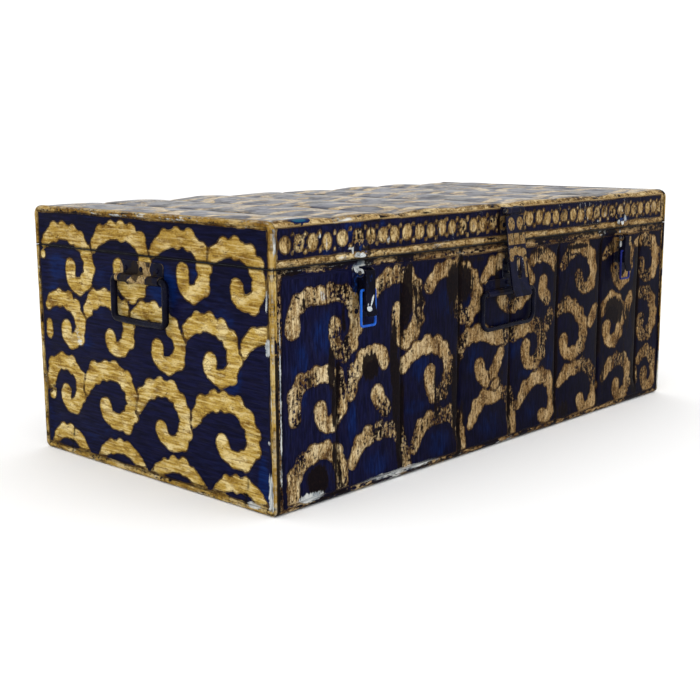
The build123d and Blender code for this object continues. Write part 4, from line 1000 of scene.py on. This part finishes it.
def end_panel(name, sx, z0, z1, rim_top, corner, orn, body, node):
    """sx -1 left, 1 right. The rim runs up the front and back edges and along the top or the bottom."""
    ring_in = np.array([p[0] for p in RIM])
    ring_h = np.array([p[1] for p in RIM])
    ring_in = np.where(ring_in > 4, 4 + (ring_in - 4) * (corner - 4) / 4.0, ring_in) if corner > 4.2 else ring_in
    w = np.concatenate([[0], np.cumsum(np.hypot(np.diff(ring_in), np.diff(ring_h)))])
    n = len(RIM)
    inner_y = np.linspace(YF + corner, YB - corner, 136)[1:-1]
    ny = 2 * n + len(inner_y)
    zi = np.linspace(z1 - (corner if rim_top else 0), z0 + (0 if rim_top else corner), int((z1 - z0 - corner) / 2.2) + 2)
    zi = zi[1:] if rim_top else zi[:-1]
    nz = n + len(zi)
    Y = np.zeros((ny, nz))
    Z = np.zeros((ny, nz))
    H = np.zeros((ny, nz))
    W = w[-1]
    cz = z1 - corner if rim_top else z0 + corner
    sg = 1 if rim_top else -1
    for i in range(ny):
        a = i if i < n else (ny - 1 - i if ny - 1 - i < n else None)       # ring number on the y side
        side = -1 if i < ny / 2 else 1
        for j in range(nz):
            b = j if rim_top and j < n else ((nz - 1 - j) if not rim_top and nz - 1 - j < n else None)
            if a is not None and b is not None:
                ca, cb = W - w[a], W - w[b]
                k = min(a, b)
                m = max(ca, cb)
                th = 0.0 if m < 1e-9 else (math.pi / 4 * cb / ca if ca >= cb else math.pi / 2 - math.pi / 4 * ca / cb)
                R = corner - ring_in[k]
                Y[i, j] = side * (YB - corner + R * math.cos(th))
                Z[i, j] = cz + sg * R * math.sin(th)
                H[i, j] = ring_h[k]
            elif a is not None:
                Y[i, j] = side * (YB - ring_in[a])
                Z[i, j] = zi[j - n] if rim_top else zi[j]
                H[i, j] = ring_h[a]
            elif b is not None:
                Y[i, j] = inner_y[i - n]
                Z[i, j] = (z1 - ring_in[b]) if rim_top else (z0 + ring_in[b])
                H[i, j] = ring_h[b]
            else:
                Y[i, j] = inner_y[i - n]
                Z[i, j] = zi[j - n] if rim_top else zi[j]
    yf = Y + 162.5
    edge = np.minimum(np.minimum(yf, 325 - yf), (HGT - Z) if rim_top else Z)
    plate = smooth(4.5, 16, edge)
    seed = 21 if sx < 0 else 61
    lump = vnoise(yf, Z, 60, seed) ** 2 * 1.4 + vnoise(yf, Z, 18, seed + 1) * 0.25
    for c in (138.0, 63.0):
        wander = 1.2 * (vnoise(yf, Z * 0, 60, seed + 2) - 0.5)
        lump += 0.55 * np.exp(-((Z - c - wander) / 1.5) ** 2) - 0.3 * np.exp(-((Z - c - 5) / 3.5) ** 2)
    hard = smooth(30, 42, np.abs(Y)) + smooth(14, 26, np.abs(Z - 183))
    lump *= np.clip(hard, 0, 1)
    lump *= smooth(0, 8, np.abs(Z - SEAM)) * 0.7 + 0.3
    lump = np.where(((Z > 184) & (Z < SEAM)) | (Z < 18), np.minimum(lump, 0.25), np.minimum(lump, 1.5 if z0 < SEAM else 0.7))
    # the rim itself is slightly knocked about
    knock = (vnoise(yf + Z, Z, 9, seed + 4) - 0.5) * 0.35 * (H > 0.2)
    X = sx * (XE + H - lump * plate + knock)
    P = np.stack([X, Y, Z], -1)
    if sx < 0:
        A = paint_end(yf, Z, orn, 31, True)
        pat = np.stack([yf, Z, np.full_like(Y, 1.0)], -1)
    else:
        A = paint_end(yf, Z, orn, 67, False)
        pat = np.stack([yf, Z, np.full_like(Y, 7.0)], -1)
    side_rim = (np.minimum(yf, 325 - yf) < 6.0) & (np.minimum(yf, 325 - yf) < edge + 0.01)
    pat[..., 0] = np.where(side_rim, Z, pat[..., 0])
    pat[..., 1] = np.where(side_rim, yf - H, pat[..., 1])
    pat[..., 2] = np.where(side_rim, pat[..., 2] + 0.5, pat[..., 2])
    lap = H < -0.3
    along = np.where(np.abs(Y) > 162.4, Z, Y)
    v = vnoise(along, H * 3, 14, seed + 6)
    A["gold"] = np.where(lap, np.where(v > 0.36, -3.0, 1.5), A["gold"])
    A["smear"] = np.where(lap, 0.15 + 0.5 * (v < 0.3), A["smear"])
    A["wear"] = np.where(lap, 0.55, A["wear"])
    A["cobalt"] = np.where(lap, 0.5 * (vnoise(along, H, 30, seed + 8) > 0.6), A["cobalt"])
    pale_lap = 0.75 * smooth(0.5, 0.8, vnoise(along, H, 36, seed + 9))
    if sx < 0:      # the near corner is blackened low down, with a thin pale line
        low = (Y < 0) * smooth(150, 120, Z)
        A["smear"] = np.where(lap, np.maximum(A["smear"], 0.85 * low), A["smear"])
        pale_lap = pale_lap * (1 - 0.8 * low)
    A["grime"] = np.where(lap, 0.5, A["grime"])
    A["pale"] = np.where(lap, pale_lap, A["pale"])
    A["crease"] = np.where(H < -3.6, 1.0, A["crease"])
    A["edge"] = np.maximum(np.exp(-((H - 0.1) / 0.55) ** 2) * (edge < 1.5), 0) * 0.7
    # painted shadow darkens a band along the seam; a pale painted highlight runs just above and below it
    A["crease"] = np.maximum(A["crease"], 1.0 * smooth(2.6, 1.5, np.abs(Z - SEAM)))
    A["pale"] = np.maximum(A["pale"], 0.62 * np.exp(-((np.abs(Z - SEAM) - 3.3) / 0.8) ** 2) * smooth(0.5, 0.8, vnoise(yf, Z, 24, seed + 12)))
    out = np.array([sx, 0, 0])
    return sheet_shell(name, P, A, pat, [M_END, M_INSIDE], body, [node], outward=out, thick=0.75)


# ---- lid sheet: up the front, over the top and down the back
def lid_panel():
    us = x_lines(2.35)
    pr = []
    for z in np.linspace(SEAM + 0.45, 224.4, 15):
        pr.append((YF, z, -1.0, 0.0))
    for a in np.linspace(8, 82, 9):
        t = math.radians(a)
        pr.append((YF + 8 - 8 * math.cos(t), 225 + 8 * math.sin(t), -math.cos(t), math.sin(t)))
    for y in np.linspace(YF + 8.4, YB - 8.4, 132):
        pr.append((y, HGT, 0.0, 1.0))
    for a in np.linspace(82, 8, 9):
        t = math.radians(a)
        pr.append((YB - 8 + 8 * math.cos(t), 225 + 8 * math.sin(t), math.cos(t), math.sin(t)))
    for z in np.linspace(224.4, SEAM + 0.45, 13):
        pr.append((YB, z, 1.0, 0.0))
    pr = np.array(pr)
    X, K = np.meshgrid(us, np.arange(len(pr)), indexing="ij")
    y, z, ny, nz = (pr[K, c] for c in range(4))
    topness = smooth(0.15, 0.95, nz)
    ends = smooth(303.4, 292, np.abs(X))
    front_skirt = (1 - topness) * (y < 0)
    yf = y + 162.5
    bulge = topness * (1.1 - groove_depth(X, 3.1, 1.6)) * (0.55 + 0.45 * smooth(4, 20, np.minimum(yf, 325 - yf))) * ends
    lump = topness * ends * (vnoise(X, y, 48, 15) - 0.6) * 1.6 + topness * (vnoise(X, y, 14, 16) - 0.5) * 0.35 * ends
    skirt = -(1 - topness) * (vnoise(X, z, 50, 17) * 0.5 + groove_depth(X, 0.35, 0.35)) * smooth(0, 6, z - SEAM) * ends
    for cx, hw in ((HASP_X, 16), (LATCH_X, 10), (-LATCH_X, 10)):
        skirt *= 1 - smooth(hw + 8, hw, np.abs(X - cx)) * (y < 0)
        bulge_cut = smooth(hw + 8, hw, np.abs(X - cx)) * (y < -150) * (1 - topness)
        bulge *= 1 - bulge_cut
    for cx in (-190, 190):
        skirt *= 1 - smooth(32, 23, np.abs(X - cx)) * (y > 0)
    off = bulge + lump + skirt
    P = np.stack([X, y + ny * off, z + nz * off], -1)
    xl = X + 305
    front = paint_lid_front(xl, z)
    top = paint_top(xl, yf)
    back = paint_lid_back(610 - xl, z)
    is_top = (nz > 0.55)
    is_front = (~is_top) & (y < 0)
    A = {k: np.where(is_top, top[k], np.where(is_front, front[k], back[k])) for k in CHANNELS}
    # dark band along the lid's lower lip: a dark lip and painted shadow of the seam gap
    A["crease"] = np.maximum(A["crease"], smooth(SEAM + 2.6, SEAM + 1.4, z))
    pa = np.where(is_top, yf, z)
    flatwise = np.where(is_top, np.minimum(yf, 325 - yf) < 9, (z < 204) | (z > 228))
    pat = np.stack([np.where(flatwise, X + 400, pa), np.where(flatwise, pa, X + 400), np.where(is_top, 17.0, 19.0) + 0.5 * flatwise], -1)
    return sheet_shell("lid_sheet_painted", P, A, pat, [M_LID, M_INSIDE], "lid", ["lid_sheet"], outward=None)


def bottom_pan():
    """The floor plate, set in a little above the turned-under edge of the walls, with a flange up inside."""
    w, d = XI - 0.05, 162.5 - 0.85
    rings = [(0.0, 14.0), (0.0, 9.0), (0.0, 5.0), (0.3, 3.2), (1.2, 1.7), (2.8, 1.0), (5.5, 0.85), (20.0, 0.9), (60.0, 1.1), (130.0, 1.3)]
    n_side = 24
    loops = []
    for inset, z in rings:
        hx, hy = w - inset, d - inset
        pts = []
        for (ax, ay), (bx, by) in (((-hx, -hy), (hx, -hy)), ((hx, -hy), (hx, hy)), ((hx, hy), (-hx, hy)), ((-hx, hy), (-hx, -hy))):
            for t in np.linspace(0, 1, n_side, endpoint=False):
                pts.append((ax + (bx - ax) * t, ay + (by - ay) * t, z))
        loops.append(pts)
    V = [p for l in loops for p in l]
    m = 4 * n_side
    F = []
    for k in range(len(loops) - 1):
        for i in range(m):
            F.append([k * m + i, k * m + (i + 1) % m, (k + 1) * m + (i + 1) % m, (k + 1) * m + i])
    last = (len(loops) - 1) * m
    V.append((0, 0, 1.3))
    c = len(V) - 1
    for i in range(m):
        F.append([last + i, last + (i + 1) % m, c])
    base = len(V)
    V += [(x * (1 - 0.8 / max(abs(x), 300)) if k < 4 * m else x, y * (1 - 0.8 / max(abs(y), 160)) if k < 4 * m else y, z + (0.0 if k < m else 0.8))
          for k, (x, y, z) in enumerate(V)]
    F2 = [[base + i for i in f[::-1]] for f in F]
    R = [[i, base + i, base + (i + 1) % m, (i + 1) % m] for i in range(m)]
    F = [f[::-1] for f in F] + [f[::-1] for f in F2] + [r[::-1] for r in R]
    o = new_mesh("bottom_pan", V, F, [M_INSIDE])
    fix_normals(o)
    n = len(V)
    A = blank(n)
    A["smear"] = 0.5 * np.ones(n)
    co = np.array(V)
    set_channels(o.data, A, np.stack([co[:, 0], co[:, 1], np.full(n, 23.0)], -1))
    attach(o, "trunk")
    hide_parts("body_bottom_pan")
    return o


def fix_normals(o):
    bm = bmesh.new()
    bm.from_mesh(o.data)
    bmesh.ops.recalc_face_normals(bm, faces=bm.faces)
    bm.to_mesh(o.data)
    bm.free()


# ------------------------------------------------------------------ hardware
def finish_hard(node, name, mat, body, bevel=0.25, cut=2.4, paint=None, segs=2):
    """A steel piece from its CAD shape: edges broken, worn edges marked, and cut fine enough to carry paint."""
    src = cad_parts[node]
    bm = bmesh.new()
    bm.from_mesh(src.data)
    bmesh.ops.remove_doubles(bm, verts=bm.verts, dist=2e-6)
    bmesh.ops.dissolve_limit(bm, angle_limit=math.radians(0.6), verts=bm.verts, edges=bm.edges)
    bmesh.ops.recalc_face_normals(bm, faces=bm.faces)
    sharp = [e for e in bm.edges if len(e.link_faces) == 2 and e.calc_face_angle(0) > math.radians(32)]
    segs_mm = np.array([[v.co[:] for v in e.verts] for e in sharp], float).reshape(-1, 2, 3) * 1000
    if bevel and sharp:
        bmesh.ops.bevel(bm, geom=sharp, offset=bevel / 1000, segments=segs, profile=0.6, affect="EDGES", clamp_overlap=True)
        bmesh.ops.remove_doubles(bm, verts=bm.verts, dist=1e-6)
    if cut:
        bmesh.ops.triangulate(bm, faces=bm.faces)
        for _ in range(7):
            long = [e for e in bm.edges if e.calc_length() > cut / 1000]
            if not long:
                break
            bmesh.ops.subdivide_edges(bm, edges=long, cuts=1)
            bmesh.ops.triangulate(bm, faces=[f for f in bm.faces if len(f.verts) > 3])
    me = bpy.data.meshes.new(name)
    bm.to_mesh(me)
    bm.free()
    n = len(me.vertices)
    co = np.zeros(n * 3, np.float32)
    me.vertices.foreach_get("co", co)
    co = co.reshape(-1, 3) * 1000
    along = [a + (b - a) * t for a, b in segs_mm for t in np.linspace(0, 1, 2 + int(np.linalg.norm(b - a) / 0.35))]
    tree = KDTree(len(along))
    for i, q in enumerate(along):
        tree.insert(q, i)
    tree.balance()
    near = np.array([tree.find(q)[2] if along else 9.0 for q in co])
    edge = np.exp(-(near / 0.5) ** 2)
    A = blank(n)
    A["wear"] = np.full(n, 0.3)
    if paint:
        for k, v in paint(co).items():
            A[k] = v
    A["edge"] = edge
    set_channels(me, A, np.stack([co[:, 2], co[:, 0] + co[:, 1], np.full(n, (hash_name(name) % 97) + 0.5)], -1))
    me.materials.append(mat)
    me.polygons.foreach_set("use_smooth", np.ones(len(me.polygons), bool))
    o = bpy.data.objects.new(name, me)
    bpy.context.scene.collection.objects.link(o)
    if bevel:
        wn = o.modifiers.new("weighted", "WEIGHTED_NORMAL")
        wn.keep_sharp = False
        wn.weight = 60
    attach(o, body)
    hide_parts(node)
    return o


def hash_name(s):
    h = 7
    for c in s:
        h = (h * 31 + ord(c)) % 100003
    return h


def round_corners(pts, radii, closed=True, arc=10, run=6.0):
    """Points along straight runs joined by arcs."""
    P = [np.array(p, float) for p in pts]
    n = len(P)
    out = []
    ends = []
    for i in range(n):
        if radii[i] <= 0 or (not closed and i in (0, n - 1)):
            ends.append((P[i], [P[i]], P[i]))
            continue
        a = P[i - 1] - P[i]
        b = P[(i + 1) % n] - P[i]
        a /= np.linalg.norm(a)
        b /= np.linalg.norm(b)
        ang = math.acos(np.clip(a @ b, -1, 1))
        t = radii[i] / math.tan(ang / 2)
        bis = (a + b) / np.linalg.norm(a + b)
        c = P[i] + bis * radii[i] / math.sin(ang / 2)
        s, e = P[i] + a * t, P[i] + b * t
        u, v = (s - c) / radii[i], (e - c) / radii[i]
        om = math.acos(np.clip(u @ v, -1, 1))
        pts_arc = [c + radii[i] * (math.sin((1 - k) * om) * u + math.sin(k * om) * v) / math.sin(om) for k in np.linspace(0, 1, arc)]
        ends.append((s, pts_arc, e))
    for i in range(n):
        out += ends[i][1]
        if closed or i < n - 1:
            p, q = ends[i][2], ends[(i + 1) % n][0]
            m = max(1, int(np.linalg.norm(q - p) / run))
            out += [p + (q - p) * k / m for k in range(1, m)]
    return np.array(out)


def wire(name, pts, r, closed, mat, body, nodes, seg=20, wob=0.0, seed=0, channels=None):
    """A round wire along the points, its section turned without twist, with rounded ends if open."""
    pts = np.array(pts, float)
    n = len(pts)
    if closed:
        tan = np.roll(pts, -1, 0) - np.roll(pts, 1, 0)
    else:
        tan = np.gradient(pts, axis=0)
    tan /= np.linalg.norm(tan, axis=1)[:, None]
    c = pts.mean(0)
    q = pts - c
    plane = np.linalg.svd(q)[2][2]
    s = np.concatenate([[0], np.cumsum(np.linalg.norm(np.diff(pts, axis=0), axis=1))])
    V = []
    rows = []
    rr = np.full(n, r) * (1 + 0.035 * (vnoise(s, s * 0, 7, seed) - 0.5))
    extra = []
    if not closed:
        extra = [(0, -0.6, 0.55), (0, -0.25, 0.88)]
    centre, rad, tt, ss = [], [], [], []
    if not closed:
        for off, k in ((-0.7, 0.35), (-0.35, 0.82)):
            centre.append(pts[0] + tan[0] * off * r)
            rad.append(rr[0] * k)
            tt.append(tan[0])
            ss.append(s[0])
    for i in range(n):
        centre.append(pts[i])
        rad.append(rr[i])
        tt.append(tan[i])
        ss.append(s[i])
    if not closed:
        for off, k in ((0.35, 0.82), (0.7, 0.35)):
            centre.append(pts[-1] + tan[-1] * off * r)
            rad.append(rr[-1] * k)
            tt.append(tan[-1])
            ss.append(s[-1])
    pat = []
    for c0, r0, t0, s0 in zip(centre, rad, tt, ss):
        b = plane - t0 * (plane @ t0)
        b /= np.linalg.norm(b)
        a = np.cross(b, t0)
        for k in range(seg):
            th = 2 * math.pi * k / seg
            V.append(c0 + r0 * (math.cos(th) * a + math.sin(th) * b))
            pat.append((s0, th * r0 * 1.0, 31.0 + seed))
    m = len(centre)
    F = []
    for i in range(m if closed else m - 1):
        j = (i + 1) % m
        for k in range(seg):
            l = (k + 1) % seg
            F.append([i * seg + k, i * seg + l, j * seg + l, j * seg + k])
    if not closed:
        F.append([k for k in range(seg)][::-1])
        F.append([(m - 1) * seg + k for k in range(seg)])
    o = new_mesh(name, V, F, [mat])
    fix_normals(o)
    co = np.array(V)
    A = blank(len(V))
    A["wear"] = np.full(len(V), 0.3)
    A["edge"] = np.full(len(V), 0.0)
    if channels:
        for k, v in channels(co).items():
            A[k] = v
    set_channels(o.data, A, np.array(pat))
    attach(o, body)
    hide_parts(*nodes)
    return o


def front_pt(u, d, z, x0=0.0):
    return (x0 + u, YF - d, z)


# ------------------------------------------------------------------ build: sheets
wall("front_sheet_painted", -1, paint_front, "trunk", "body_front_sheet")
wall("back_sheet_painted", 1, paint_back, "trunk", "body_back_sheet")
end_panel("end_left_painted", -1, 0.6, SEAM - 0.35, False, 5.0, end_orn, "trunk", "body_end_left")
end_panel("end_right_painted", 1, 0.6, SEAM - 0.35, False, 5.0, right_orn, "trunk", "body_end_right")
end_panel("lid_end_left_painted", -1, SEAM + 0.45, HGT, True, 8.0, end_orn, "lid", "lid_end_left")
end_panel("lid_end_right_painted", 1, SEAM + 0.45, HGT, True, 8.0, right_orn, "lid", "lid_end_right")
lid_panel()
bottom_pan()
finish_hard("body_inner_rim", "inner_rim", M_INSIDE, "trunk", bevel=0.2)

# ------------------------------------------------------------------ build: hasp and staple


def hasp_paint(co):
    x, z = co[:, 0], co[:, 2]
    u = x - HASP_X
    n = len(x)
    g = np.full(n, 20.0)
    # two ovals near the top, an ochre block, a thin dark line, a row of lobes and a streak down the right
    for c in (-6.5, 7.5):
        g = np.minimum(g, (np.hypot((u - c) / 5.2, (z - 214) / 6.2) - 1) * 5.2)
    g = np.minimum(g, np.maximum(np.abs(z - 200.0) - 5.2, np.abs(u) - 13.4))
    for c, zc, r in ((-9.0, 187.5, 4.4), (-3.0, 189.0, 4.2), (3.2, 187.8, 4.4), (9.0, 186.2, 4.6), (10.6, 180.5, 3.0), (-10.6, 182.5, 3.2)):
        g = np.minimum(g, np.hypot(u - c, z - zc) - r)
    g = np.minimum(g, np.maximum(np.abs(u - 10.2 - (180 - z) * 0.05) - 1.5, np.abs(z - 174) - 11))
    sm = np.maximum(0.9 * np.exp(-((u + 4.5) / 0.9) ** 2), 0.9 * np.exp(-((u - 5.0) / 0.9) ** 2)) * (np.abs(z - 200) < 7)
    sm = np.maximum(sm, 0.75 * (vnoise(u, z, 6, 3) > 0.66) * (z > 182))
    # painted highlight: a pale line down the strap's left edge; below it a pale streak on the right
    pale = 0.55 * np.exp(-((u + 13.6) / 0.5) ** 2) * (z > 186) * (z < 212)
    pale = np.maximum(pale, 0.65 * np.exp(-((u - 6.8 - 0.12 * (180 - z)) / 0.6) ** 2) * (np.abs(z - 178) < 6))
    return {"gold": g, "smear": sm, "pale": pale, "cobalt": 0.30 * smooth(0.4, 0.8, vnoise(u, z, 9, 8)) * (z < 184), "wear": np.full(n, 0.35), "grime": np.full(n, 0.6)}


def leaf_paint(co):
    x, z = co[:, 0] + 305, co[:, 2]
    A = paint_lid_front(x, z)
    return {"gold": np.where(z > 222, 20.0, A["gold"]), "smear": np.maximum(A["smear"], 0.45), "wear": np.full(len(x), 0.6), "cobalt": A["cobalt"] * 0.3, "grime": A["grime"]}


finish_hard("hasp_strap", "hasp_strap_painted", M_PLATE, "hasp", bevel=0.3, cut=1.6, paint=hasp_paint)
finish_hard("hasp_leaf", "hasp_leaf_painted", M_PLATE, "lid", bevel=0.25, cut=1.8, paint=leaf_paint)
finish_hard("hasp_pin", "hasp_pin_steel", M_STEEL, "lid", bevel=0.2)
finish_hard("hasp_rivets", "hasp_rivet_heads", M_PLATE, "lid", bevel=0.15)
finish_hard("staple_plate", "staple_plate_painted", M_DARK, "trunk", bevel=0.25)
arc = round_corners([front_pt(0, -2.2, 167.8, HASP_X), front_pt(0, 10.3, 167.8, HASP_X), front_pt(0, 10.3, 176.2, HASP_X), front_pt(0, -2.2, 176.2, HASP_X)],
                    [0, 3.4, 3.4, 0], closed=False, arc=12, run=2.0)
wire("staple_wire", arc, 1.2, False, M_STEEL, "trunk", ["staple"], seg=18, seed=2)

# ------------------------------------------------------------------ build: handles
fb = round_corners([front_pt(-41, 3.2, 150), front_pt(41, 3.2, 150), front_pt(41, 3.2, 117), front_pt(-41, 3.2, 117)],
                   [4.5, 4.5, 9.5, 9.5], arc=12, run=3.0)
k = smooth(150, 120, fb[:, 2])
fb[:, 2] += 0.5 * np.sin((fb[:, 0] + 8) / 17.0) * k
fb[:, 1] -= 0.35 * np.sin(fb[:, 0] / 13.0) ** 2 * k
wire("front_bail_wire", fb, 2.15, True, M_DARK, "front_bail", ["front_handle_bail"], seg=24, seed=3)


def clip_paint(co):
    A = paint_front(co[:, 0] + 305, co[:, 2])
    return {"gold": np.maximum(A["gold"], -(co[:, 1] - (YF - 1.6)) * 4), "smear": A["smear"] * 0.7 + 0.25, "cobalt": A["cobalt"] * 0.7, "wear": np.full(len(co), 0.6)}


finish_hard("front_handle_clip", "front_clip_painted", M_PLATE, "trunk", bevel=0.22, cut=2.0, paint=clip_paint)
finish_hard("front_handle_rivets", "front_clip_rivet_heads", M_PLATE, "trunk", bevel=0.15)
for sx, side in ((-1, "left"), (1, "right")):
    E = lambda y, d, z: (sx * (XE + d), y, z)
    eb = round_corners([E(-36, 4, 177), E(36, 4, 177), E(36, 4, 140), E(-36, 4, 140)], [4.5, 4.5, 5.5, 5.5], arc=12, run=3.0)
    k = smooth(175, 145, eb[:, 2])
    eb[:, 2] += 0.6 * np.sin((eb[:, 1] + 14 * sx) / 15.0) * k
    eb[:, 0] += sx * 0.45 * np.sin((eb[:, 1] + 5) / 21.0) ** 2 * k
    wire(f"end_bail_{side}_wire", eb, 3.0, True, M_DARK, f"{side}_bail", [f"end_handle_{side}_bail"], seg=26, seed=5 + sx)
    orn = end_orn if sx < 0 else right_orn

    def end_clip(co, orn=orn, sx=sx):
        yf, z = co[:, 1] + 162.5, co[:, 2]
        out = np.abs(co[:, 0]) - XE
        g = orn.distance(yf, z)
        return {"gold": g, "cobalt": 0.18 * patch(yf, z, 150, 186, 40, 10),
                "smear": 0.30 + 0.35 * (vnoise(yf, z, 9, 4) > 0.55), "wear": np.full(len(co), 0.30)}

    finish_hard(f"end_handle_{side}_clip", f"end_clip_{side}_painted", M_PLATE, "trunk", bevel=0.25, cut=1.8, paint=end_clip)
    finish_hard(f"end_handle_{side}_rivets", f"end_clip_{side}_rivet_heads", M_PLATE, "trunk", bevel=0.15)

# ------------------------------------------------------------------ build: draw latches
for sx, side in ((-1, "left"), (1, "right")):
    cx = sx * LATCH_X
    F = lambda u, d, z: front_pt(u, d, z, cx)

    def base_paint(co, cx=cx, sx=sx):
        u, z = co[:, 0] - cx, co[:, 2]
        A = paint_front(co[:, 0] + 305, z)
        if sx < 0:
            # painted glare at the seam above the left latch
            pale = 0.85 * patch(u, z, -6, 191, 4, 6)
            cob = np.maximum(0.50 * patch(u, z, -8, 178, 5, 20), 0.40 * patch(u, z, 8, 178, 4, 14))
        else:
            # painted glare down the right latch's left flange
            pale = 0.92 * smooth(-6.4, -7.2, u) * np.exp(-((co[:, 1] + 167.6) / 1.5) ** 2) * smooth(176, 181, z)
            cob = 0.25 * patch(u, z, 2, 170, 8, 16)
        return {"gold": A["gold"] + (2.0 if sx < 0 else 0.5), "pale": pale, "cobalt": cob, "smear": np.maximum(A["smear"] * 0.8, 0.3), "wear": np.full(len(u), 0.45), "grime": A["grime"]}

    def lever_paint(co, cx=cx, sx=sx):
        u, z = co[:, 0] - cx, co[:, 2]
        n = len(u)
        if sx < 0:
            # painted glints on the left lever
            pale = np.maximum(0.9 * patch(u - (z - 164) * 0.35, z, 1.8, 164, 1.6, 6, 2), 0.9 * patch(u, z, -2.4, 157.5, 4.0, 3.0))
            pale = np.maximum(pale, 0.55 * patch(u, z, -3.0, 161, 2.0, 2.0))
            cob = np.maximum(0.38 * patch(u, z, -2, 183, 8, 12), 0.22 * patch(u, z, 3, 172, 5, 8))
        else:
            # painted glare down the right lever's left side
            pale = 0.90 * smooth(-4.6, -5.6, u) * np.exp(-((co[:, 1] + 168.2) / 1.6) ** 2) * smooth(173, 179, z)
            cob = 0.20 * patch(u, z, 0, 168, 8, 12)
        ochre = 2.5 - 3.4 * patch(u, z, 4.5, 183, 4.0, 7.5, 4) if sx > 0 else np.full(n, 2.5)
        return {"pale": pale, "cobalt": cob, "gold": ochre, "wear": np.full(n, 0.4)}

    def catch_paint(co, cx=cx, sx=sx):
        u, z = co[:, 0] - cx, co[:, 2]
        A = paint_lid_front(co[:, 0] + 305, z)
        # painted glare on the catch at the seam
        pale = (0.8 * patch(u, z, -4, 201, 6, 3.5)) if sx < 0 else (0.75 * patch(u, z, -3, 203, 4, 4))
        cob = 0.5 * patch(u, z, 3, 206, 8, 6)
        return {"pale": pale, "cobalt": cob, "gold": A["gold"], "smear": np.maximum(A["smear"], 0.35), "wear": np.full(len(u), 0.5), "grime": A["grime"]}

    finish_hard(f"latch_{side}_base", f"latch_{side}_base_painted", M_PLATE, "trunk", bevel=0.2, cut=1.6, paint=base_paint)
    finish_hard(f"latch_{side}_lever", f"latch_{side}_lever_painted", M_LEVER, f"{side}_lever", bevel=0.2, cut=1.3, paint=lever_paint)
    finish_hard(f"latch_{side}_lever_pin", f"latch_{side}_pin_steel", M_STEEL, "trunk", bevel=0.15)
    finish_hard(f"latch_{side}_catch", f"latch_{side}_catch_painted", M_PLATE, "lid", bevel=0.18, cut=1.5, paint=catch_paint)
    lp = round_corners([F(-4.9, 8.5, 173), F(-8.6, 8.5, 173), F(-8.6, 8.5, 143), F(8.6, 8.5, 143), F(8.6, 8.5, 173), F(4.9, 8.5, 173)],
                       [0, 1.6, 2.2, 2.2, 1.6, 0], closed=False, arc=9, run=1.8)
    wire(f"latch_{side}_loop_wire", lp, 1.1, False, M_BLUE if sx < 0 else M_BLUE2, f"{side}_loop", [f"latch_{side}_loop"], seg=16, seed=9 + sx)
finish_hard("latch_base_rivets", "latch_base_rivet_heads", M_PLATE, "trunk", bevel=0.15)
finish_hard("latch_catch_rivets", "latch_catch_rivet_heads", M_PLATE, "lid", bevel=0.15)

# ------------------------------------------------------------------ build: back hinges
for side in ("left", "right"):
    finish_hard(f"hinge_{side}_body_leaf", f"hinge_{side}_body_leaf_painted", M_PLATE, "trunk", bevel=0.25, cut=3.0)
    finish_hard(f"hinge_{side}_lid_leaf", f"hinge_{side}_lid_leaf_painted", M_PLATE, "lid", bevel=0.25, cut=3.0)
    finish_hard(f"hinge_{side}_pin", f"hinge_{side}_pin_steel", M_STEEL, "trunk", bevel=0.2)
finish_hard("hinge_body_rivets", "hinge_body_rivet_heads", M_PLATE, "trunk", bevel=0.15)
finish_hard("hinge_lid_rivets", "hinge_lid_rivet_heads", M_PLATE, "lid", bevel=0.15)

# ------------------------------------------------------------------ floor, world, lights


def studio():
    g = Graph("floor_paper")
    tex = g.t.nodes.new("ShaderNodeTexCoord").outputs["Object"]
    n = g.noise(g.vmul(tex, (3, 3, 3)), 3, 0.5)
    g.put(g.bsdf.inputs["Base Color"], g.mix(n, (0.925, 0.925, 0.925, 1), (0.94, 0.94, 0.94, 1)))
    g.bsdf.inputs["Roughness"].default_value = 0.9
    g.bsdf.inputs["Specular IOR Level"].default_value = 0.0
    bm = bmesh.new()
    bmesh.ops.create_grid(bm, x_segments=2, y_segments=2, size=60)
    me = bpy.data.meshes.new("floor")
    bm.to_mesh(me)
    bm.free()
    me.materials.append(g.mat)
    floor = bpy.data.objects.new("floor", me)
    floor.location = (0, 0, -0.0004)
    bpy.context.scene.collection.objects.link(floor)

    w = bpy.data.worlds.new("world")
    bpy.context.scene.world = w
    w.use_nodes = True
    bg = w.node_tree.nodes["Background"]
    bg.inputs[0].default_value = (1.0, 1.0, 1.0, 1)
    bg.inputs[1].default_value = 1.2

    def area(name, loc, look, size, power, colour=(1, 1, 1)):
        d = bpy.data.lights.new(name, "AREA")
        d.shape = "RECTANGLE"
        d.size, d.size_y = size
        d.energy = power
        d.color = colour
        o = bpy.data.objects.new(name, d)
        o.location = loc
        o.rotation_euler = (Vector(look) - Vector(loc)).to_track_quat("-Z", "Y").to_euler()
        bpy.context.scene.collection.objects.link(o)
        o.visible_camera = False
        return o

    area("key", (-1.9, -1.3, 1.9), (0, 0, 0.1), (1.6, 1.6), 12, (1.0, 0.99, 0.97))
    area("front_fill", (0.9, -2.2, 1.2), (0.1, 0, 0.12), (1.2, 1.2), 5, (0.98, 0.99, 1.0))
    s = bpy.context.scene
    s.view_settings.view_transform = "Standard"
    s.view_settings.look = "None"
    s.view_settings.exposure = 0.0
    s.view_settings.gamma = 1.0


studio()
